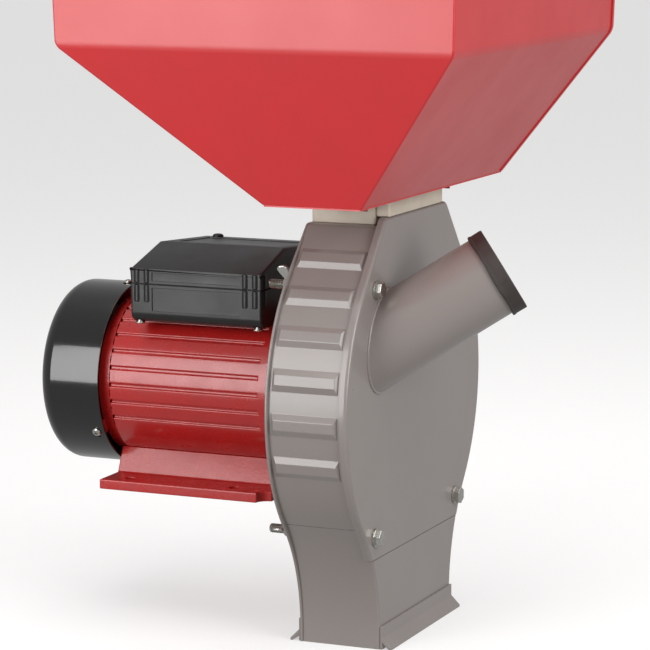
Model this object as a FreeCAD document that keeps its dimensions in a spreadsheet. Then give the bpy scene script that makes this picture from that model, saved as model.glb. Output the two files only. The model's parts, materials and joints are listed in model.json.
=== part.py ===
import FreeCAD, Part
import math
import os
import re

import Sketcher
from FreeCAD import Placement, Rotation, Vector

# Electric hammer mill for grain and corn cobs, in millimetres.
# X runs along the motor shaft, from the fan to the front cover. Z is up, and the floor is Z = 0.
# The origin is the middle of the discharge outlet, at floor level, under the shaft axis.

SIZES = [
    # The milling chamber
    ("axis_height", 207, "shaft axis above the floor"),
    ("body_radius", 153, "outside of the plain chamber wall"),
    ("chamber_depth", 70.5, "chamber from the rear plate to the front of the cover"),
    ("wall_sheet", 1.5, "sheet of the chamber wall and the outlet"),
    ("plate_sheet", 2, "sheet of the rear plate"),
    ("plate_rim", 3.5, "rear plate beyond the chamber wall"),
    ("top_drop", 3, "flat top of the wall below the round body's top"),
    ("top_half", 70, "half width of the flat top"),
    ("corner_round", 7, "rounding of the top corners"),
    ("foot_half", 82, "half width of the outlet"),
    ("foot_straight", 10, "upright stretch at the foot of the outlet"),
    ("rib_rise", 2.8, "height of the pressed ribs"),
    ("rib_land", 11, "flat crown of a rib"),
    ("rib_slope", 4, "sloping flank of a rib"),
    ("rib_pitch", 13.8, "angle from rib to rib, degrees"),
    ("rib_start", -16.3, "angle of the lowest rib above the axis, degrees"),
    ("rib_inset", 5, "plain rim beside the ribs"),
    ("lip_reach", 10, "outlet lip beyond the duct"),
    ("lip_rise", 20, "height of the outlet lip"),
    ("lip_sheet", 2, "sheet of the outlet lip"),
    # The front cover and the cob tube
    ("cover_sheet", 1.6, "sheet of the cover"),
    ("cover_gap", 0.4, "skirt to chamber wall"),
    ("cover_lap", 7, "depth of the skirt"),
    ("cover_over", 7, "flat top of the cover above the wall's"),
    ("cover_below", 29.4, "lower edge of the cover below the chamber's seam"),
    ("cover_round", 2.5, "rounded front edge of the cover"),
    ("tube_radius", 35, "outside of the cob tube"),
    ("tube_sheet", 2, "wall of the cob tube"),
    ("tube_margin", 27.4, "cob tube inside the chamber wall"),
    ("tube_turn", 142.6, "foot of the tube about the shaft axis, degrees"),
    ("tube_yaw", 25, "tube turned sideways, degrees"),
    ("tube_pitch", 31.5, "tube tilted up, degrees"),
    ("tube_reach", 112, "cover to the mouth of the tube"),
    ("cap_sleeve", 10, "cap over the tube"),
    ("cap_end", 3, "end wall of the cap"),
    ("cap_wall", 2.2, "sleeve of the cap"),
    ("cap_round", 1.3, "rounded edges of the cap"),
    ("cap_gap", 0.3, "cap to tube"),
    # The long cover bolts and their wing nuts
    ("bolt_radius", 4, "long bolt"),
    ("bolt_inset", 16.07, "upper bolts inside the chamber wall"),
    ("bolt_turn", 47.22, "upper bolts above the axis, degrees"),
    ("low_inset", 10.48, "lower bolts inside the chamber wall"),
    ("low_turn", 49.27, "lower bolts below the axis, degrees"),
    ("bolt_beyond", 23, "threaded end beyond the rear plate"),
    ("bolt_play", 0.5, "long bolt in its holes"),
    ("head_radius", 7.5, "hexagon bolt head, across corners"),
    ("head_depth", 5.3, "bolt head"),
    ("washer_radius", 8, "washer"),
    ("washer_sheet", 1.5, "washer thickness"),
    ("thread_play", 0.05, "wing nut on its bolt"),
    ("wing_hub", 7.5, "hub of the wing nut"),
    ("wing_depth", 9, "depth of the hub"),
    ("wing_reach", 16.5, "wing tip from the bolt"),
    ("wing_rise", 8, "half depth of a wing"),
    ("wing_sheet", 2.6, "thickness of a wing"),
    # The feed collar, slide gate and hopper
    ("collar_over", 1, "feed collar behind the chamber wall"),
    ("collar_back", 6.5, "rear block behind the cover's skirt"),
    ("collar_short", 0.5, "front block behind the cover's face"),
    ("collar_half", 61.4, "half length of the collar"),
    ("collar_depth", 21, "depth of the collar"),
    ("throat_inset", 18, "feed opening from the collar's rear"),
    ("throat_edge", 3, "feed opening from the rear block's front"),
    ("throat_half", 30, "half length of the feed opening"),
    ("gate_sheet", 2, "slide gate"),
    ("gate_play", 0.4, "gate in its slot"),
    ("gate_lap", 4, "gate beyond the feed opening"),
    ("gate_pull", 18.6, "pull end of the gate beyond the collar, at rest"),
    ("gate_stop", 46.6, "stop end of the gate beyond the collar, at rest"),
    ("gate_window", 46, "middle of the gate's window, at rest"),
    ("gate_tab", 8, "bent ends of the gate"),
    ("hopper_sheet", 1.2, "sheet of the hopper"),
    ("slope_rise", 126, "height of the hopper's sloping walls"),
    ("wall_rise", 112, "height of the hopper's upper walls"),
    ("floor_step", 3, "hopper floor from the collar's rear"),
    ("floor_beyond", 16, "hopper floor beyond the collar's front"),
    ("floor_half", 165, "hopper floor, half length"),
    ("fold_rear", -201, "hopper fold, rear edge"),
    ("fold_front", 143, "hopper fold, front edge"),
    ("fold_half", 200, "hopper fold, half length"),
    ("hopper_flare", 3, "outward lean of the upper walls"),
    ("seam_width", 5.5, "lapped seam at the hopper corners"),
    ("seam_sheet", 1.2, "thickness of the lapped seam"),
    ("rim_depth", 4, "hemmed rim"),
    ("rim_width", 2.5, "rim beyond the wall"),
    ("screw_radius", 2.5, "hopper screws"),
    ("screw_head", 4.2, "hopper screw head"),
    ("screw_cap", 2.6, "depth of a hopper screw head"),
    ("screw_nut", 4.5, "depth of a hopper screw nut"),
    ("screw_bite", 10, "front hopper screws into the front block"),
    ("screw_side", 48, "hopper screws from the middle"),
    # The motor
    ("motor_radius", 72, "lands of the motor housing"),
    ("motor_wall", 10, "wall of the motor housing"),
    ("motor_length", 152, "length of the motor housing"),
    ("groove_depth", 1.8, "grooves between the lands"),
    ("groove_width", 3.6, "width of a groove"),
    ("groove_pitch", 12, "angle from groove to groove, degrees"),
    ("groove_start", -24, "angle of the lowest groove, degrees"),
    ("groove_stop", 11, "plain stretch at the chamber end"),
    ("foot_over", 4, "motor foot beyond the housing"),
    ("foot_clear", 18, "underside of the foot below the housing"),
    ("foot_sheet", 8.5, "thickness of the foot"),
    ("foot_reach", 85, "half width of the foot"),
    ("foot_notch", 10, "scooped corners of the foot"),
    ("foot_hole", 5, "foot bolt hole radius"),
    ("hole_span_x", 100, "foot holes along the shaft"),
    ("hole_span_y", 140, "foot holes across the shaft"),
    ("hole_inset", 23, "rear foot holes from the rear end of the foot"),
    ("web_foot", 50, "web of the foot at the bottom"),
    ("web_top", 40, "web of the foot at the housing"),
    ("bracket_depth", 34, "front bracket between the housing and the rear plate"),
    ("bracket_step", 2, "end brackets inside the lands"),
    ("bracket_spigot", 6, "depth of a bracket's spigot in the housing"),
    ("bracket_face", 9, "face of the front bracket"),
    ("bracket_rim", 15, "rim of the front bracket"),
    ("bracket_boss", 7, "boss for a flange bolt"),
    ("flange_bite", 14, "flange bolts in the front bracket"),
    ("flange_cap", 3.5, "depth of a flange bolt head"),
    ("spigot_radius", 30, "front bracket in the rear plate"),
    ("fit", 0.1, "pieces that are fitted together"),
    ("run_gap", 0.4, "turning pieces beside fixed ones"),
    ("shell_gap", 0.3, "pieces that lie on the housing"),
    ("stator_bore", 40, "inside of the stator"),
    ("stator_rear_in", 22, "stator from the rear end of the housing"),
    ("stator_front_in", 30, "stator from the front end of the housing"),
    ("winding_reach", 15, "end turns beyond the stator"),
    ("winding_edge", 4, "end turns inside the edges of the stator"),
    ("fan_over", 8, "fan cover outside the motor lands"),
    ("fan_ring", 7, "bare ring of the rear bracket"),
    ("fan_depth", 60, "depth of the fan cover"),
    ("fan_sheet", 1.6, "wall of the fan cover"),
    ("fan_round", 12, "rounded end of the fan cover"),
    ("fan_clear", 14, "cooling fan inside the fan cover"),
    ("fan_stand", 9, "fan from the end of the fan cover"),
    ("fan_width", 18, "width of the fan blades"),
    ("blade_sheet", 2.4, "thickness of a fan blade"),
    ("vent_edge", 22, "outer ring of vents from the rim"),
    ("vent_pitch", 18, "ring to ring of vents"),
    ("vent_length", 12, "length of a vent"),
    ("vent_width", 4.4, "width of a vent"),
    ("ear_length", 15, "screw ears of the rear bracket, along the shaft"),
    ("ear_width", 12, "screw ears of the rear bracket"),
    ("ear_screw", 8, "fan cover screws from the cover's open end"),
    ("shell_screw", 2, "fan cover screws"),
    ("shell_head", 4, "fan cover screw head"),
    ("shell_cap", 2.4, "depth of a fan cover screw head"),
    ("shell_bite", 10, "fan cover screws below the cover's surface"),
    # The shaft and its bearings
    ("shaft_core", 15, "shaft in the rotor core"),
    ("shaft_front", 12.5, "shaft in the front bearing"),
    ("shaft_nose", 12, "shaft behind the hammers"),
    ("shaft_hub", 10, "shaft in the hammer hub"),
    ("shaft_thread", 8, "threaded end of the shaft"),
    ("shaft_rear", 10, "shaft in the rear bearing"),
    ("shaft_fan", 7, "shaft in the fan"),
    ("shaft_step", 3, "shoulder behind the rear bearing"),
    ("core_relief", 1.2, "shaft relief beside the rotor core"),
    ("front_race", 26, "front bearing, outside"),
    ("front_width", 15, "front bearing, width"),
    ("rear_race", 23.5, "rear bearing, outside"),
    ("rear_width", 14, "rear bearing, width"),
    ("front_in", 4, "front bearing beyond the housing's end"),
    ("rear_out", 20, "rear bearing beyond the housing's end"),
    ("front_ball", 3, "front bearing balls"),
    ("rear_ball", 2.75, "rear bearing balls"),
    ("ball_gap", 0.3, "ball to race"),
    ("seal_wall", 8, "shaft seal, radial width"),
    ("seal_depth", 4, "shaft seal, depth"),
    ("seal_lip", 5, "bracket wall in front of the seal"),
    # The hammer rotor
    ("disc_room", 30.5, "chamber depth beside the rotor discs"),
    ("disc_sheet", 4, "thickness of a disc"),
    ("disc_margin", 14, "disc beyond the pin circle"),
    ("hub_radius", 21, "spacer tube between the discs"),
    ("pin_radius", 4, "hammer pin"),
    ("pin_beyond", 3, "hammer pin beyond a disc"),
    ("clip_radius", 6.5, "retaining clip"),
    ("clip_sheet", 1.2, "thickness of a clip"),
    ("hammer_sheet", 3, "thickness of a hammer"),
    ("hammer_half", 10, "half width of a hammer"),
    ("hammer_reach", 42, "hammer tip from its pin"),
    ("hammer_tail", 10, "hammer end behind its pin"),
    ("hammer_inset", 8, "hammers from the discs"),
    ("tip_gap", 8, "hammer tips to the sieve"),
    ("swing_gap", 0.4, "hammer beside its spacers"),
    ("pin_play", 0.1, "hammer on its pin"),
    ("nut_depth", 8, "shaft nut"),
    ("nut_radius", 13.5, "shaft nut, across corners"),
    ("shaft_tip", 1, "thread beyond the shaft nut"),
    # The sieve
    ("sieve_inset", 29, "sieve inside the chamber wall"),
    ("sieve_sheet", 1.2, "sieve sheet"),
    ("sieve_end", 1, "sieve to the rear plate and to the cover"),
    ("sieve_open", 35, "half angle left open under the feed, degrees"),
    ("sieve_hole", 3.5, "sieve hole radius"),
    ("sieve_pitch", 12, "row to row of holes"),
    ("sieve_spacing", 13.8, "hole to hole along a row"),
    ("seat_gap", 0.4, "sieve to its seats"),
    ("seat_sheet", 3, "sieve seat rings"),
    ("seat_depth", 8, "depth of a seat ring"),
    # The terminal box
    ("box_rear_in", 23, "box from the rear end of the housing"),
    ("box_front_in", 5, "box from the front end of the housing"),
    ("box_half", 75, "half width of the box"),
    ("box_sunk", 15, "lower edge of the box below the top of the housing"),
    ("box_depth", 33, "depth of the box below its seam"),
    ("rim_rise", 14, "rim of the lid above the seam"),
    ("ridge_rise", 17, "ridge of the lid above its rim"),
    ("far_rise", 11, "far edge of the lid above its rim"),
    ("far_inset", 2, "far edge of the lid, inwards"),
    ("ridge_side", -22, "ridge of the lid, sideways"),
    ("box_draft", 2, "taper of the lid's ends"),
    ("box_wall", 2.6, "wall of the box"),
    ("box_round", 9, "rounded lower edges of the box"),
    ("gasket_sheet", 1.5, "gasket in the seam"),
    ("gasket_inset", 1.5, "gasket behind the box wall"),
    ("gasket_width", 2.1, "width of the gasket"),
    ("post_radius", 4.5, "screw posts"),
    ("post_sunk", 0.8, "screw posts in the box walls"),
    ("lid_bite", 8, "box screws in the lid"),
    ("lid_cap", 2.2, "depth of a box screw head"),
    ("cap_radius", 15, "capacitors"),
    ("cap_length", 75, "length of a capacitor"),
    ("cap_side", 50, "capacitors, sideways"),
    ("block_half", 22, "terminal block, half length"),
    ("block_side", 14, "terminal block, half width"),
    ("block_rise", 12, "terminal block, height"),
    ("block_pitch", 9, "clamp to clamp of the terminal block"),
    ("block_groove", 3, "groove between two clamps"),
    ("button_radius", 5, "overload button"),
    ("button_rise", 3, "button above the lid"),
    ("button_depth", 7, "length of the button"),
    ("button_flange", 1.6, "flange of the button, beyond its side"),
    ("button_collar", 1.2, "flange of the button, thickness"),
    ("button_travel", 2.5, "button above the breaker"),
    ("button_in", 19, "overload button from the box's rear end"),
    ("button_side", 62, "overload button, sideways"),
    ("breaker_gap", 1.5, "breaker to its neighbours"),
    ("switch_in", 49, "switch from the box's rear end"),
    ("switch_half", 10, "half length of the switch"),
    ("switch_rise", 6.5, "half height of the switch"),
    ("switch_depth", 5, "switch body behind the box wall"),
    ("switch_wall", 1.6, "wall of the switch"),
    ("switch_frame", 1.9, "frame of the switch in front of the box"),
    ("rocker_gap", 0.6, "rocker in its frame"),
    ("rocker_tilt", 8, "rocker to either side, degrees"),
    ("gland_in", 30, "cable gland from the box's front end"),
    ("gland_radius", 8, "cable gland"),
    ("gland_length", 12, "cable gland outside the box"),
    ("gland_tip", 5, "tapered end of the gland"),
    ("gland_nut", 3, "locknut of the gland"),
    ("gland_up", 2, "gland and switch above the middle of the base"),
]

# Sizes and places that follow from the ones above.
PLACES = {
    "top_rise": "body_radius - top_drop",
    "wall_top": "axis_height + top_rise",
    "chamber_rear": "1.25 - chamber_depth / 2",
    "rear_back": "chamber_rear - plate_sheet",
    "cover_front": "chamber_rear + chamber_depth",
    "cover_inside": "cover_front - cover_sheet",
    "cover_back": "cover_front - cover_lap",
    "wall_front": "cover_inside - cover_gap",
    "cover_rise": "top_rise + cover_over",
    "neck_drop": "axis_height - foot_straight",
    "neck_radius": "(foot_half ^ 2 + neck_drop ^ 2 - body_radius ^ 2) / (2 * (body_radius - foot_half))",
    "seam": "axis_height - body_radius * neck_drop / (body_radius + neck_radius)",
    "cover_foot": "seam - cover_below",
    "tube_circle": "body_radius - tube_radius - tube_margin",
    "tube_side": "tube_circle * cos(tube_turn)",
    "tube_rise": "tube_circle * sin(tube_turn)",
    "bolt_side": "(body_radius - bolt_inset) * cos(bolt_turn)",
    "bolt_up": "(body_radius - bolt_inset) * sin(bolt_turn)",
    "low_side": "(body_radius - low_inset) * cos(low_turn)",
    "low_down": "(body_radius - low_inset) * sin(low_turn)",
    "bolt_end": "rear_back - bolt_beyond",
    "collar_rear": "chamber_rear - collar_over",
    "collar_split": "cover_back - collar_back",
    "collar_front": "cover_front - collar_short",
    "collar_top": "wall_top + collar_depth",
    "throat_rear": "collar_rear + throat_inset",
    "throat_front": "collar_split - throat_edge",
    "gate_rear": "throat_rear - gate_lap",
    "gate_front": "throat_front + gate_lap",
    "gate_near": "-collar_half - gate_pull",
    "gate_far": "collar_half + gate_stop",
    "gate_low": "collar_top + gate_play",
    "slot_top": "gate_low + gate_sheet + gate_play",
    "hopper_floor": "slot_top + hopper_sheet",
    "hopper_fold": "hopper_floor + slope_rise",
    "hopper_top": "hopper_fold + wall_rise",
    "mouth_rear": "fold_rear - hopper_flare",
    "mouth_front": "fold_front + hopper_flare",
    "mouth_half": "fold_half + hopper_flare",
    "floor_rear": "collar_rear + floor_step",
    "floor_front": "collar_front + floor_beyond",
    "rear_screw_x": "(collar_rear + throat_rear) / 2",
    "front_screw_x": "(gate_front + gate_play + collar_front) / 2",
    "front_base": "axis_height + cover_rise + shell_gap",
    "motor_bore": "motor_radius - motor_wall",
    "motor_front": "rear_back - bracket_depth",
    "motor_rear": "motor_front - motor_length",
    "foot_front": "motor_front + foot_over",
    "foot_rear": "motor_rear - foot_over",
    "foot_low": "axis_height - motor_radius - foot_clear",
    "hole_rear": "foot_rear + hole_inset",
    "web_rise": "sqrt(motor_radius ^ 2 - web_top ^ 2)",
    "bracket_radius": "motor_radius - bracket_step",
    "bracket_room": "motor_bore - bracket_boss",
    "flange_circle": "bracket_radius * 0.75",
    "stator_rear": "motor_rear + stator_rear_in",
    "stator_front": "motor_front - stator_front_in",
    "winding_outer": "motor_bore - winding_edge",
    "winding_inner": "stator_bore + winding_edge",
    "cover_radius": "motor_radius + fan_over",
    "fan_front": "motor_rear - fan_ring",
    "fan_rear": "fan_front - fan_depth",
    "fan_radius": "cover_radius - fan_clear",
    "fan_start": "fan_rear + fan_stand",
    "fan_end": "fan_start + fan_width",
    "ear_screw_x": "fan_front - ear_screw",
    "front_seat": "motor_front + front_in",
    "rear_seat": "motor_rear - rear_out",
    "seal_front": "rear_back - seal_lip",
    "disc_half": "(chamber_depth - disc_room) / 2",
    "disc_edge": "disc_half - disc_sheet",
    "hammer_offset": "disc_edge - hammer_inset",
    "sieve_radius": "body_radius - sieve_inset",
    "sieve_rear": "chamber_rear + sieve_end",
    "sieve_front": "cover_inside - sieve_end",
    "seat_inner": "sieve_radius + sieve_sheet + seat_gap",
    "seat_outer": "seat_inner + seat_sheet",
    "pin_circle": "sieve_radius - tip_gap - hammer_reach",
    "pin_height": "axis_height + pin_circle",
    "disc_radius": "pin_circle + disc_margin",
    "pin_half": "disc_half + pin_beyond",
    "box_rear": "motor_rear + box_rear_in",
    "box_front": "motor_front - box_front_in",
    "box_drop": "motor_radius - box_sunk",
    "box_seam": "box_drop + box_depth",
    "box_rim": "box_seam + rim_rise",
    "box_ridge": "box_rim + ridge_rise",
    "box_far": "box_rim + far_rise",
    "saddle_top": "motor_radius + shell_gap + box_wall",
    "cap_rear": "(box_rear + box_front - cap_length) / 2",
    "button_x": "box_rear + button_in",
    "switch_x": "box_rear + switch_in",
    "gland_x": "box_front - gland_in",
    "gland_height": "axis_height + (box_drop + box_seam) / 2 + gland_up",
}

RIBS = 6
GROOVES = 20
SIEVE_ROWS = 5
PINS = 4
BALLS = 8
BLADES = 7
CLAMPS = 4
VENT_RINGS = (20, 14, 8)
SCREW_TURNS = (-147, -27, 93)
WING_TURNS = (12, -12, 80, -80)
FAR = 400

doc = FreeCAD.newDocument("HammerMill")
sheet = doc.addObject("Spreadsheet::Sheet", "Sizes")
for row, (alias, value, note) in enumerate(SIZES, start=1):
    sheet.set(f"A{row}", note)
    sheet.set(f"B{row}", str(value))
    sheet.setAlias(f"B{row}", alias)
doc.recompute()
names = {alias for alias, value, note in SIZES}
nodes = []


def pointed(word):
    if word[0] in PLACES:
        return "(" + bound(PLACES[word[0]]) + ")"
    return "Sizes." + word[0] if word[0] in names else word[0]


def bound(text):
    # The same expression with each size's name pointing at its cell, and each place written out.
    return re.sub(r"[a-z_]+", pointed, str(text))


def mm(text):
    return float(sheet.evalExpression(bound(text)))


def keep(piece, name):
    piece.Label = name
    nodes.append(piece)
    return piece


def solid(name, shape):
    # A piece made with Part's own functions.
    piece = doc.addObject("Part::Feature", name)
    piece.Shape = shape
    return piece


def block(name, x, y, z):
    box = doc.addObject("Part::Box", name)
    for side, edge, (low, high) in (("Length", "x", x), ("Width", "y", y), ("Height", "z", z)):
        box.setExpression(side, bound(f"({high}) - ({low})"))
        box.setExpression(f"Placement.Base.{edge}", bound(low))
    return box


def rod(name, x, radius, y="0", z="axis_height"):
    # A round bar along the shaft's direction.
    bar = doc.addObject("Part::Cylinder", name)
    bar.Placement = Placement(Vector(), Rotation(Vector(0, 1, 0), 90))
    bar.setExpression("Radius", bound(radius))
    bar.setExpression("Height", bound(f"({x[1]}) - ({x[0]})"))
    for edge, place in (("x", x[0]), ("y", y), ("z", z)):
        bar.setExpression(f"Placement.Base.{edge}", bound(place))
    return bar


def post(name, z, radius, x, y):
    # A round upright bar.
    bar = doc.addObject("Part::Cylinder", name)
    bar.setExpression("Radius", bound(radius))
    bar.setExpression("Height", bound(f"({z[1]}) - ({z[0]})"))
    for edge, place in (("x", x), ("y", y), ("z", z[0])):
        bar.setExpression(f"Placement.Base.{edge}", bound(place))
    return bar


def joined(name, *pieces):
    group = doc.addObject("Part::MultiFuse", name)
    group.Shapes = list(pieces)
    return group


def cut(name, base, *tools):
    tool = tools[0] if len(tools) == 1 else joined(name + "Tools", *tools)
    result = doc.addObject("Part::Cut", name)
    result.Base = base
    result.Tool = tool
    return result


def plane(body, role):
    return next(f for f in body.Origin.OriginFeatures if f.Role == role)


def outline(body, role, corners):
    # A closed sketch of straight lines, each corner bound to its two expressions.
    sketch = body.newObject("Sketcher::SketchObject", body.Name + "Outline")
    sketch.AttachmentSupport = [(plane(body, role), "")]
    sketch.MapMode = "FlatFace"
    spots = [Vector(mm(across), mm(up), 0) for across, up in corners]
    count = len(spots)
    for i in range(count):
        sketch.addGeometry(Part.LineSegment(spots[i], spots[(i + 1) % count]))
    for i, (across, up) in enumerate(corners):
        sketch.addConstraint(Sketcher.Constraint("Coincident", i, 2, (i + 1) % count, 1))
        for kind, text, value in (("DistanceX", across, spots[i].x), ("DistanceY", up, spots[i].y)):
            if abs(value) < 1e-9:
                line = -2 if kind == "DistanceX" else -1
                sketch.addConstraint(Sketcher.Constraint("PointOnObject", i, 1, line))
                continue
            index = sketch.addConstraint(Sketcher.Constraint(kind, -1, 1, i, 1, value))
            sketch.renameConstraint(index, f"{kind}{i}")
            sketch.setExpression(f"Constraints.{kind}{i}", bound(text))
    return sketch


def turned(name, profile, y="0", z="axis_height"):
    # A body turned about an axis along X; the profile gives (x, radius) pairs.
    body = doc.addObject("PartDesign::Body", name)
    body.setExpression("Placement.Base.y", bound(y))
    body.setExpression("Placement.Base.z", bound(z))
    sketch = outline(body, "XZ_Plane", profile)
    turn = body.newObject("PartDesign::Revolution", name + "Turn")
    turn.Profile = sketch
    turn.ReferenceAxis = (sketch, ["H_Axis"])
    turn.Angle = 360
    return body


def pipe(x, inner, outer):
    # The profile of a plain ring or tube.
    return [(x[0], inner), (x[1], inner), (x[1], outer), (x[0], outer)]


def repeated(name, source, moves):
    # The same piece at several places, as one group of separate solids.
    doc.recompute()
    copies = []
    for move in moves:
        copy = source.Shape.copy()
        copy.Placement = move.multiply(copy.Placement)
        copies.append(copy)
    return solid(name, Part.makeCompound(copies))


def shifted(x=0, y=0, z=0):
    return Placement(Vector(x, y, z), Rotation())


def about_axis(angle):
    # A turn about the shaft axis.
    return Placement(Vector(), Rotation(Vector(1, 0, 0), angle), Vector(0, 0, mm("axis_height")))


def bar_x(x, radius, y=0.0, z=None):
    height = mm("axis_height") if z is None else z
    return Part.makeCylinder(radius, x[1] - x[0], Vector(x[0], y, height), Vector(1, 0, 0))


def box_at(x, y, z):
    return Part.makeBox(x[1] - x[0], y[1] - y[0], z[1] - z[0], Vector(x[0], y[0], z[0]))


def cased(radius, foot, rise, half, x, round_off):
    # The casing's outline as a prism from x[0] to x[1]: a flat top, straight shoulders tangent to the
    # round body, and a foot that narrows through a reversed curve tangent to both.
    centre = mm("axis_height")
    straight = mm("foot_straight")
    drop = mm("neck_drop")
    reverse = (foot ** 2 + drop ** 2 - radius ** 2) / (2 * (radius - foot))
    neck = math.asin(drop / (radius + reverse))
    shoulder = math.atan2(rise, half) - math.acos(radius / math.hypot(rise, half))

    def on_circle(angle, side):
        return Vector(x[0], side * radius * math.cos(angle), centre + radius * math.sin(angle))

    def on_neck(angle, side):
        pivot_y = (radius + reverse) * math.cos(neck)
        return Vector(x[0], side * (pivot_y - reverse * math.cos(angle)), straight + reverse * math.sin(angle))

    def side_edges(side):
        top = Vector(x[0], side * half, centre + rise)
        shoulder_end = on_circle(shoulder, side)
        neck_start = on_circle(-neck, side)
        neck_end = Vector(x[0], side * foot, straight)
        ground = Vector(x[0], side * foot, 0)
        middle = on_circle((shoulder - neck) / 2, side)
        bend = on_neck(neck / 2, side)
        return [
            Part.LineSegment(top, shoulder_end).toShape(),
            Part.Arc(shoulder_end, middle, neck_start).toShape(),
            Part.Arc(neck_start, bend, neck_end).toShape(),
            Part.LineSegment(neck_end, ground).toShape(),
        ]

    edges = side_edges(1) + side_edges(-1)
    for reach, height in ((half, centre + rise), (foot, 0)):
        edges.append(Part.LineSegment(Vector(x[0], -reach, height), Vector(x[0], reach, height)).toShape())
    wire = Part.Wire(Part.__sortEdges__(edges))
    prism = Part.Face(wire).extrude(Vector(x[1] - x[0], 0, 0))
    corners = [
        edge for edge in prism.Edges
        if all(abs(v.Z - centre - rise) < 1e-6 and abs(abs(v.Y) - half) < 1e-6 for v in edge.Vertexes)
        and abs(edge.Vertexes[0].X - edge.Vertexes[-1].X) > 1e-6
    ]
    return prism.makeFillet(round_off, corners)


seam = mm("seam")
wall_front = mm("wall_front")
rear_back = mm("rear_back")
tube_way = Rotation(Vector(0, 0, 1), mm("tube_yaw")).multiply(Rotation(Vector(0, 1, 0), -mm("tube_pitch")))
tube_dir = tube_way.multVec(Vector(1, 0, 0))
tube_foot = Vector(mm("cover_front"), mm("tube_side"), mm("axis_height + tube_rise"))
bolt_places = [(side * mm("bolt_side"), mm("axis_height + bolt_up")) for side in (-1, 1)]
bolt_places += [(side * mm("low_side"), mm("axis_height - low_down")) for side in (-1, 1)]


def bolt_holes(x, radius):
    return [bar_x(x, radius, y, z) for y, z in bolt_places]


# ---- Milling chamber -------------------------------------------------------------------------

def make_rear_plate():
    rim = mm("plate_rim")
    span = (rear_back, mm("chamber_rear"))
    plate = cased(mm("body_radius") + rim, mm("foot_half") + rim / 2, mm("top_rise"), mm("top_half"),
                  span, mm("corner_round"))
    holes = bolt_holes(span, mm("bolt_radius + bolt_play"))
    holes.append(bar_x(span, mm("spigot_radius + fit")))
    holes += flange_bolt_bars(span, mm("screw_radius + fit"))
    return plate.cut(holes)


def flange_bolt_bars(x, radius):
    # Four bolts hold the motor's front bracket to the rear plate.
    reach = mm("flange_circle")
    return [
        bar_x(x, radius, reach * math.cos(math.radians(turn)),
              mm("axis_height") + reach * math.sin(math.radians(turn)))
        for turn in (45, 135, 225, 315)
    ]


def rib_solid(angle, inner):
    # One pressed rib: a tapered bar lying on the wall along the shaft's direction.
    trim = mm("wall_sheet") if inner else 0
    low = mm("body_radius") - trim - 1
    high = mm("body_radius + rib_rise") - trim
    crown = mm("rib_land") / 2 - trim / 2
    flank = mm("rib_slope") * (high - low) / mm("rib_rise")
    ends = (mm("chamber_rear + rib_inset"), mm("cover_back - rib_inset"))

    def rectangle(level, half, shrink):
        x0, x1 = ends[0] + shrink + trim, ends[1] - shrink - trim
        points = [Vector(x0, level, -half), Vector(x1, level, -half), Vector(x1, level, half),
                  Vector(x0, level, half)]
        return Part.makePolygon(points + points[:1])

    bar = Part.makeLoft([rectangle(low, crown + flank, 0), rectangle(high, crown, flank / 2)], True, True)
    bar.translate(Vector(0, 0, mm("axis_height")))
    bar.rotate(Vector(0, 0, mm("axis_height")), Vector(1, 0, 0), angle)
    return bar


def rib_angles():
    angles = [mm("rib_start") + mm("rib_pitch") * i for i in range(RIBS)]
    return angles + [180 - angle for angle in angles]


def shoulder_lift(angle):
    # On the straight shoulders the wall lies further out than the round body.
    radius, rise, half = mm("body_radius"), mm("top_rise"), mm("top_half")
    shoulder = math.degrees(math.atan2(rise, half) - math.acos(radius / math.hypot(rise, half)))
    side_angle = angle if angle < 90 else 180 - angle
    beyond = max(0.0, side_angle - shoulder)
    return radius / math.cos(math.radians(beyond)) - radius, beyond * (1 if angle < 90 else -1)


def placed_rib(angle, inner):
    lift, beyond = shoulder_lift(angle)
    bar = rib_solid(angle - beyond, inner)
    # A rib on the shoulder slides along the straight side instead of turning with the body.
    slide = (mm("body_radius") + lift) * math.sin(math.radians(beyond))
    turn = math.radians(angle - beyond)
    bar.translate(Vector(0, -math.sin(turn) * slide, math.cos(turn) * slide))
    return bar


def make_casing_wall():
    span = (mm("chamber_rear"), wall_front)
    sheet_mm = mm("wall_sheet")
    radius, foot, rise, half = mm("body_radius"), mm("foot_half"), mm("top_rise"), mm("top_half")
    outer = cased(radius, foot, rise, half, span, mm("corner_round"))
    inner = cased(radius - sheet_mm, foot - sheet_mm, rise - sheet_mm, half - sheet_mm * 0.7,
                  (span[0] - 1, span[1] + 1), mm("corner_round") - sheet_mm)
    outer = outer.fuse([placed_rib(angle, False) for angle in rib_angles()])
    hollow = inner.fuse([placed_rib(angle, True) for angle in rib_angles()])
    below = box_at((-FAR, FAR), (-FAR, FAR), (-10, seam))
    throat = box_at((mm("throat_rear"), mm("throat_front")), (-mm("throat_half"), mm("throat_half")),
                    (mm("axis_height"), mm("hopper_floor")))
    holes = [
        Part.makeCylinder(mm("screw_radius + fit"), 40,
                          Vector(mm("rear_screw_x"), side * mm("screw_side"), mm("wall_top") - 20))
        for side in (-1, 1)
    ]
    return outer.cut([hollow, below, throat] + holes).removeSplitter()


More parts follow.
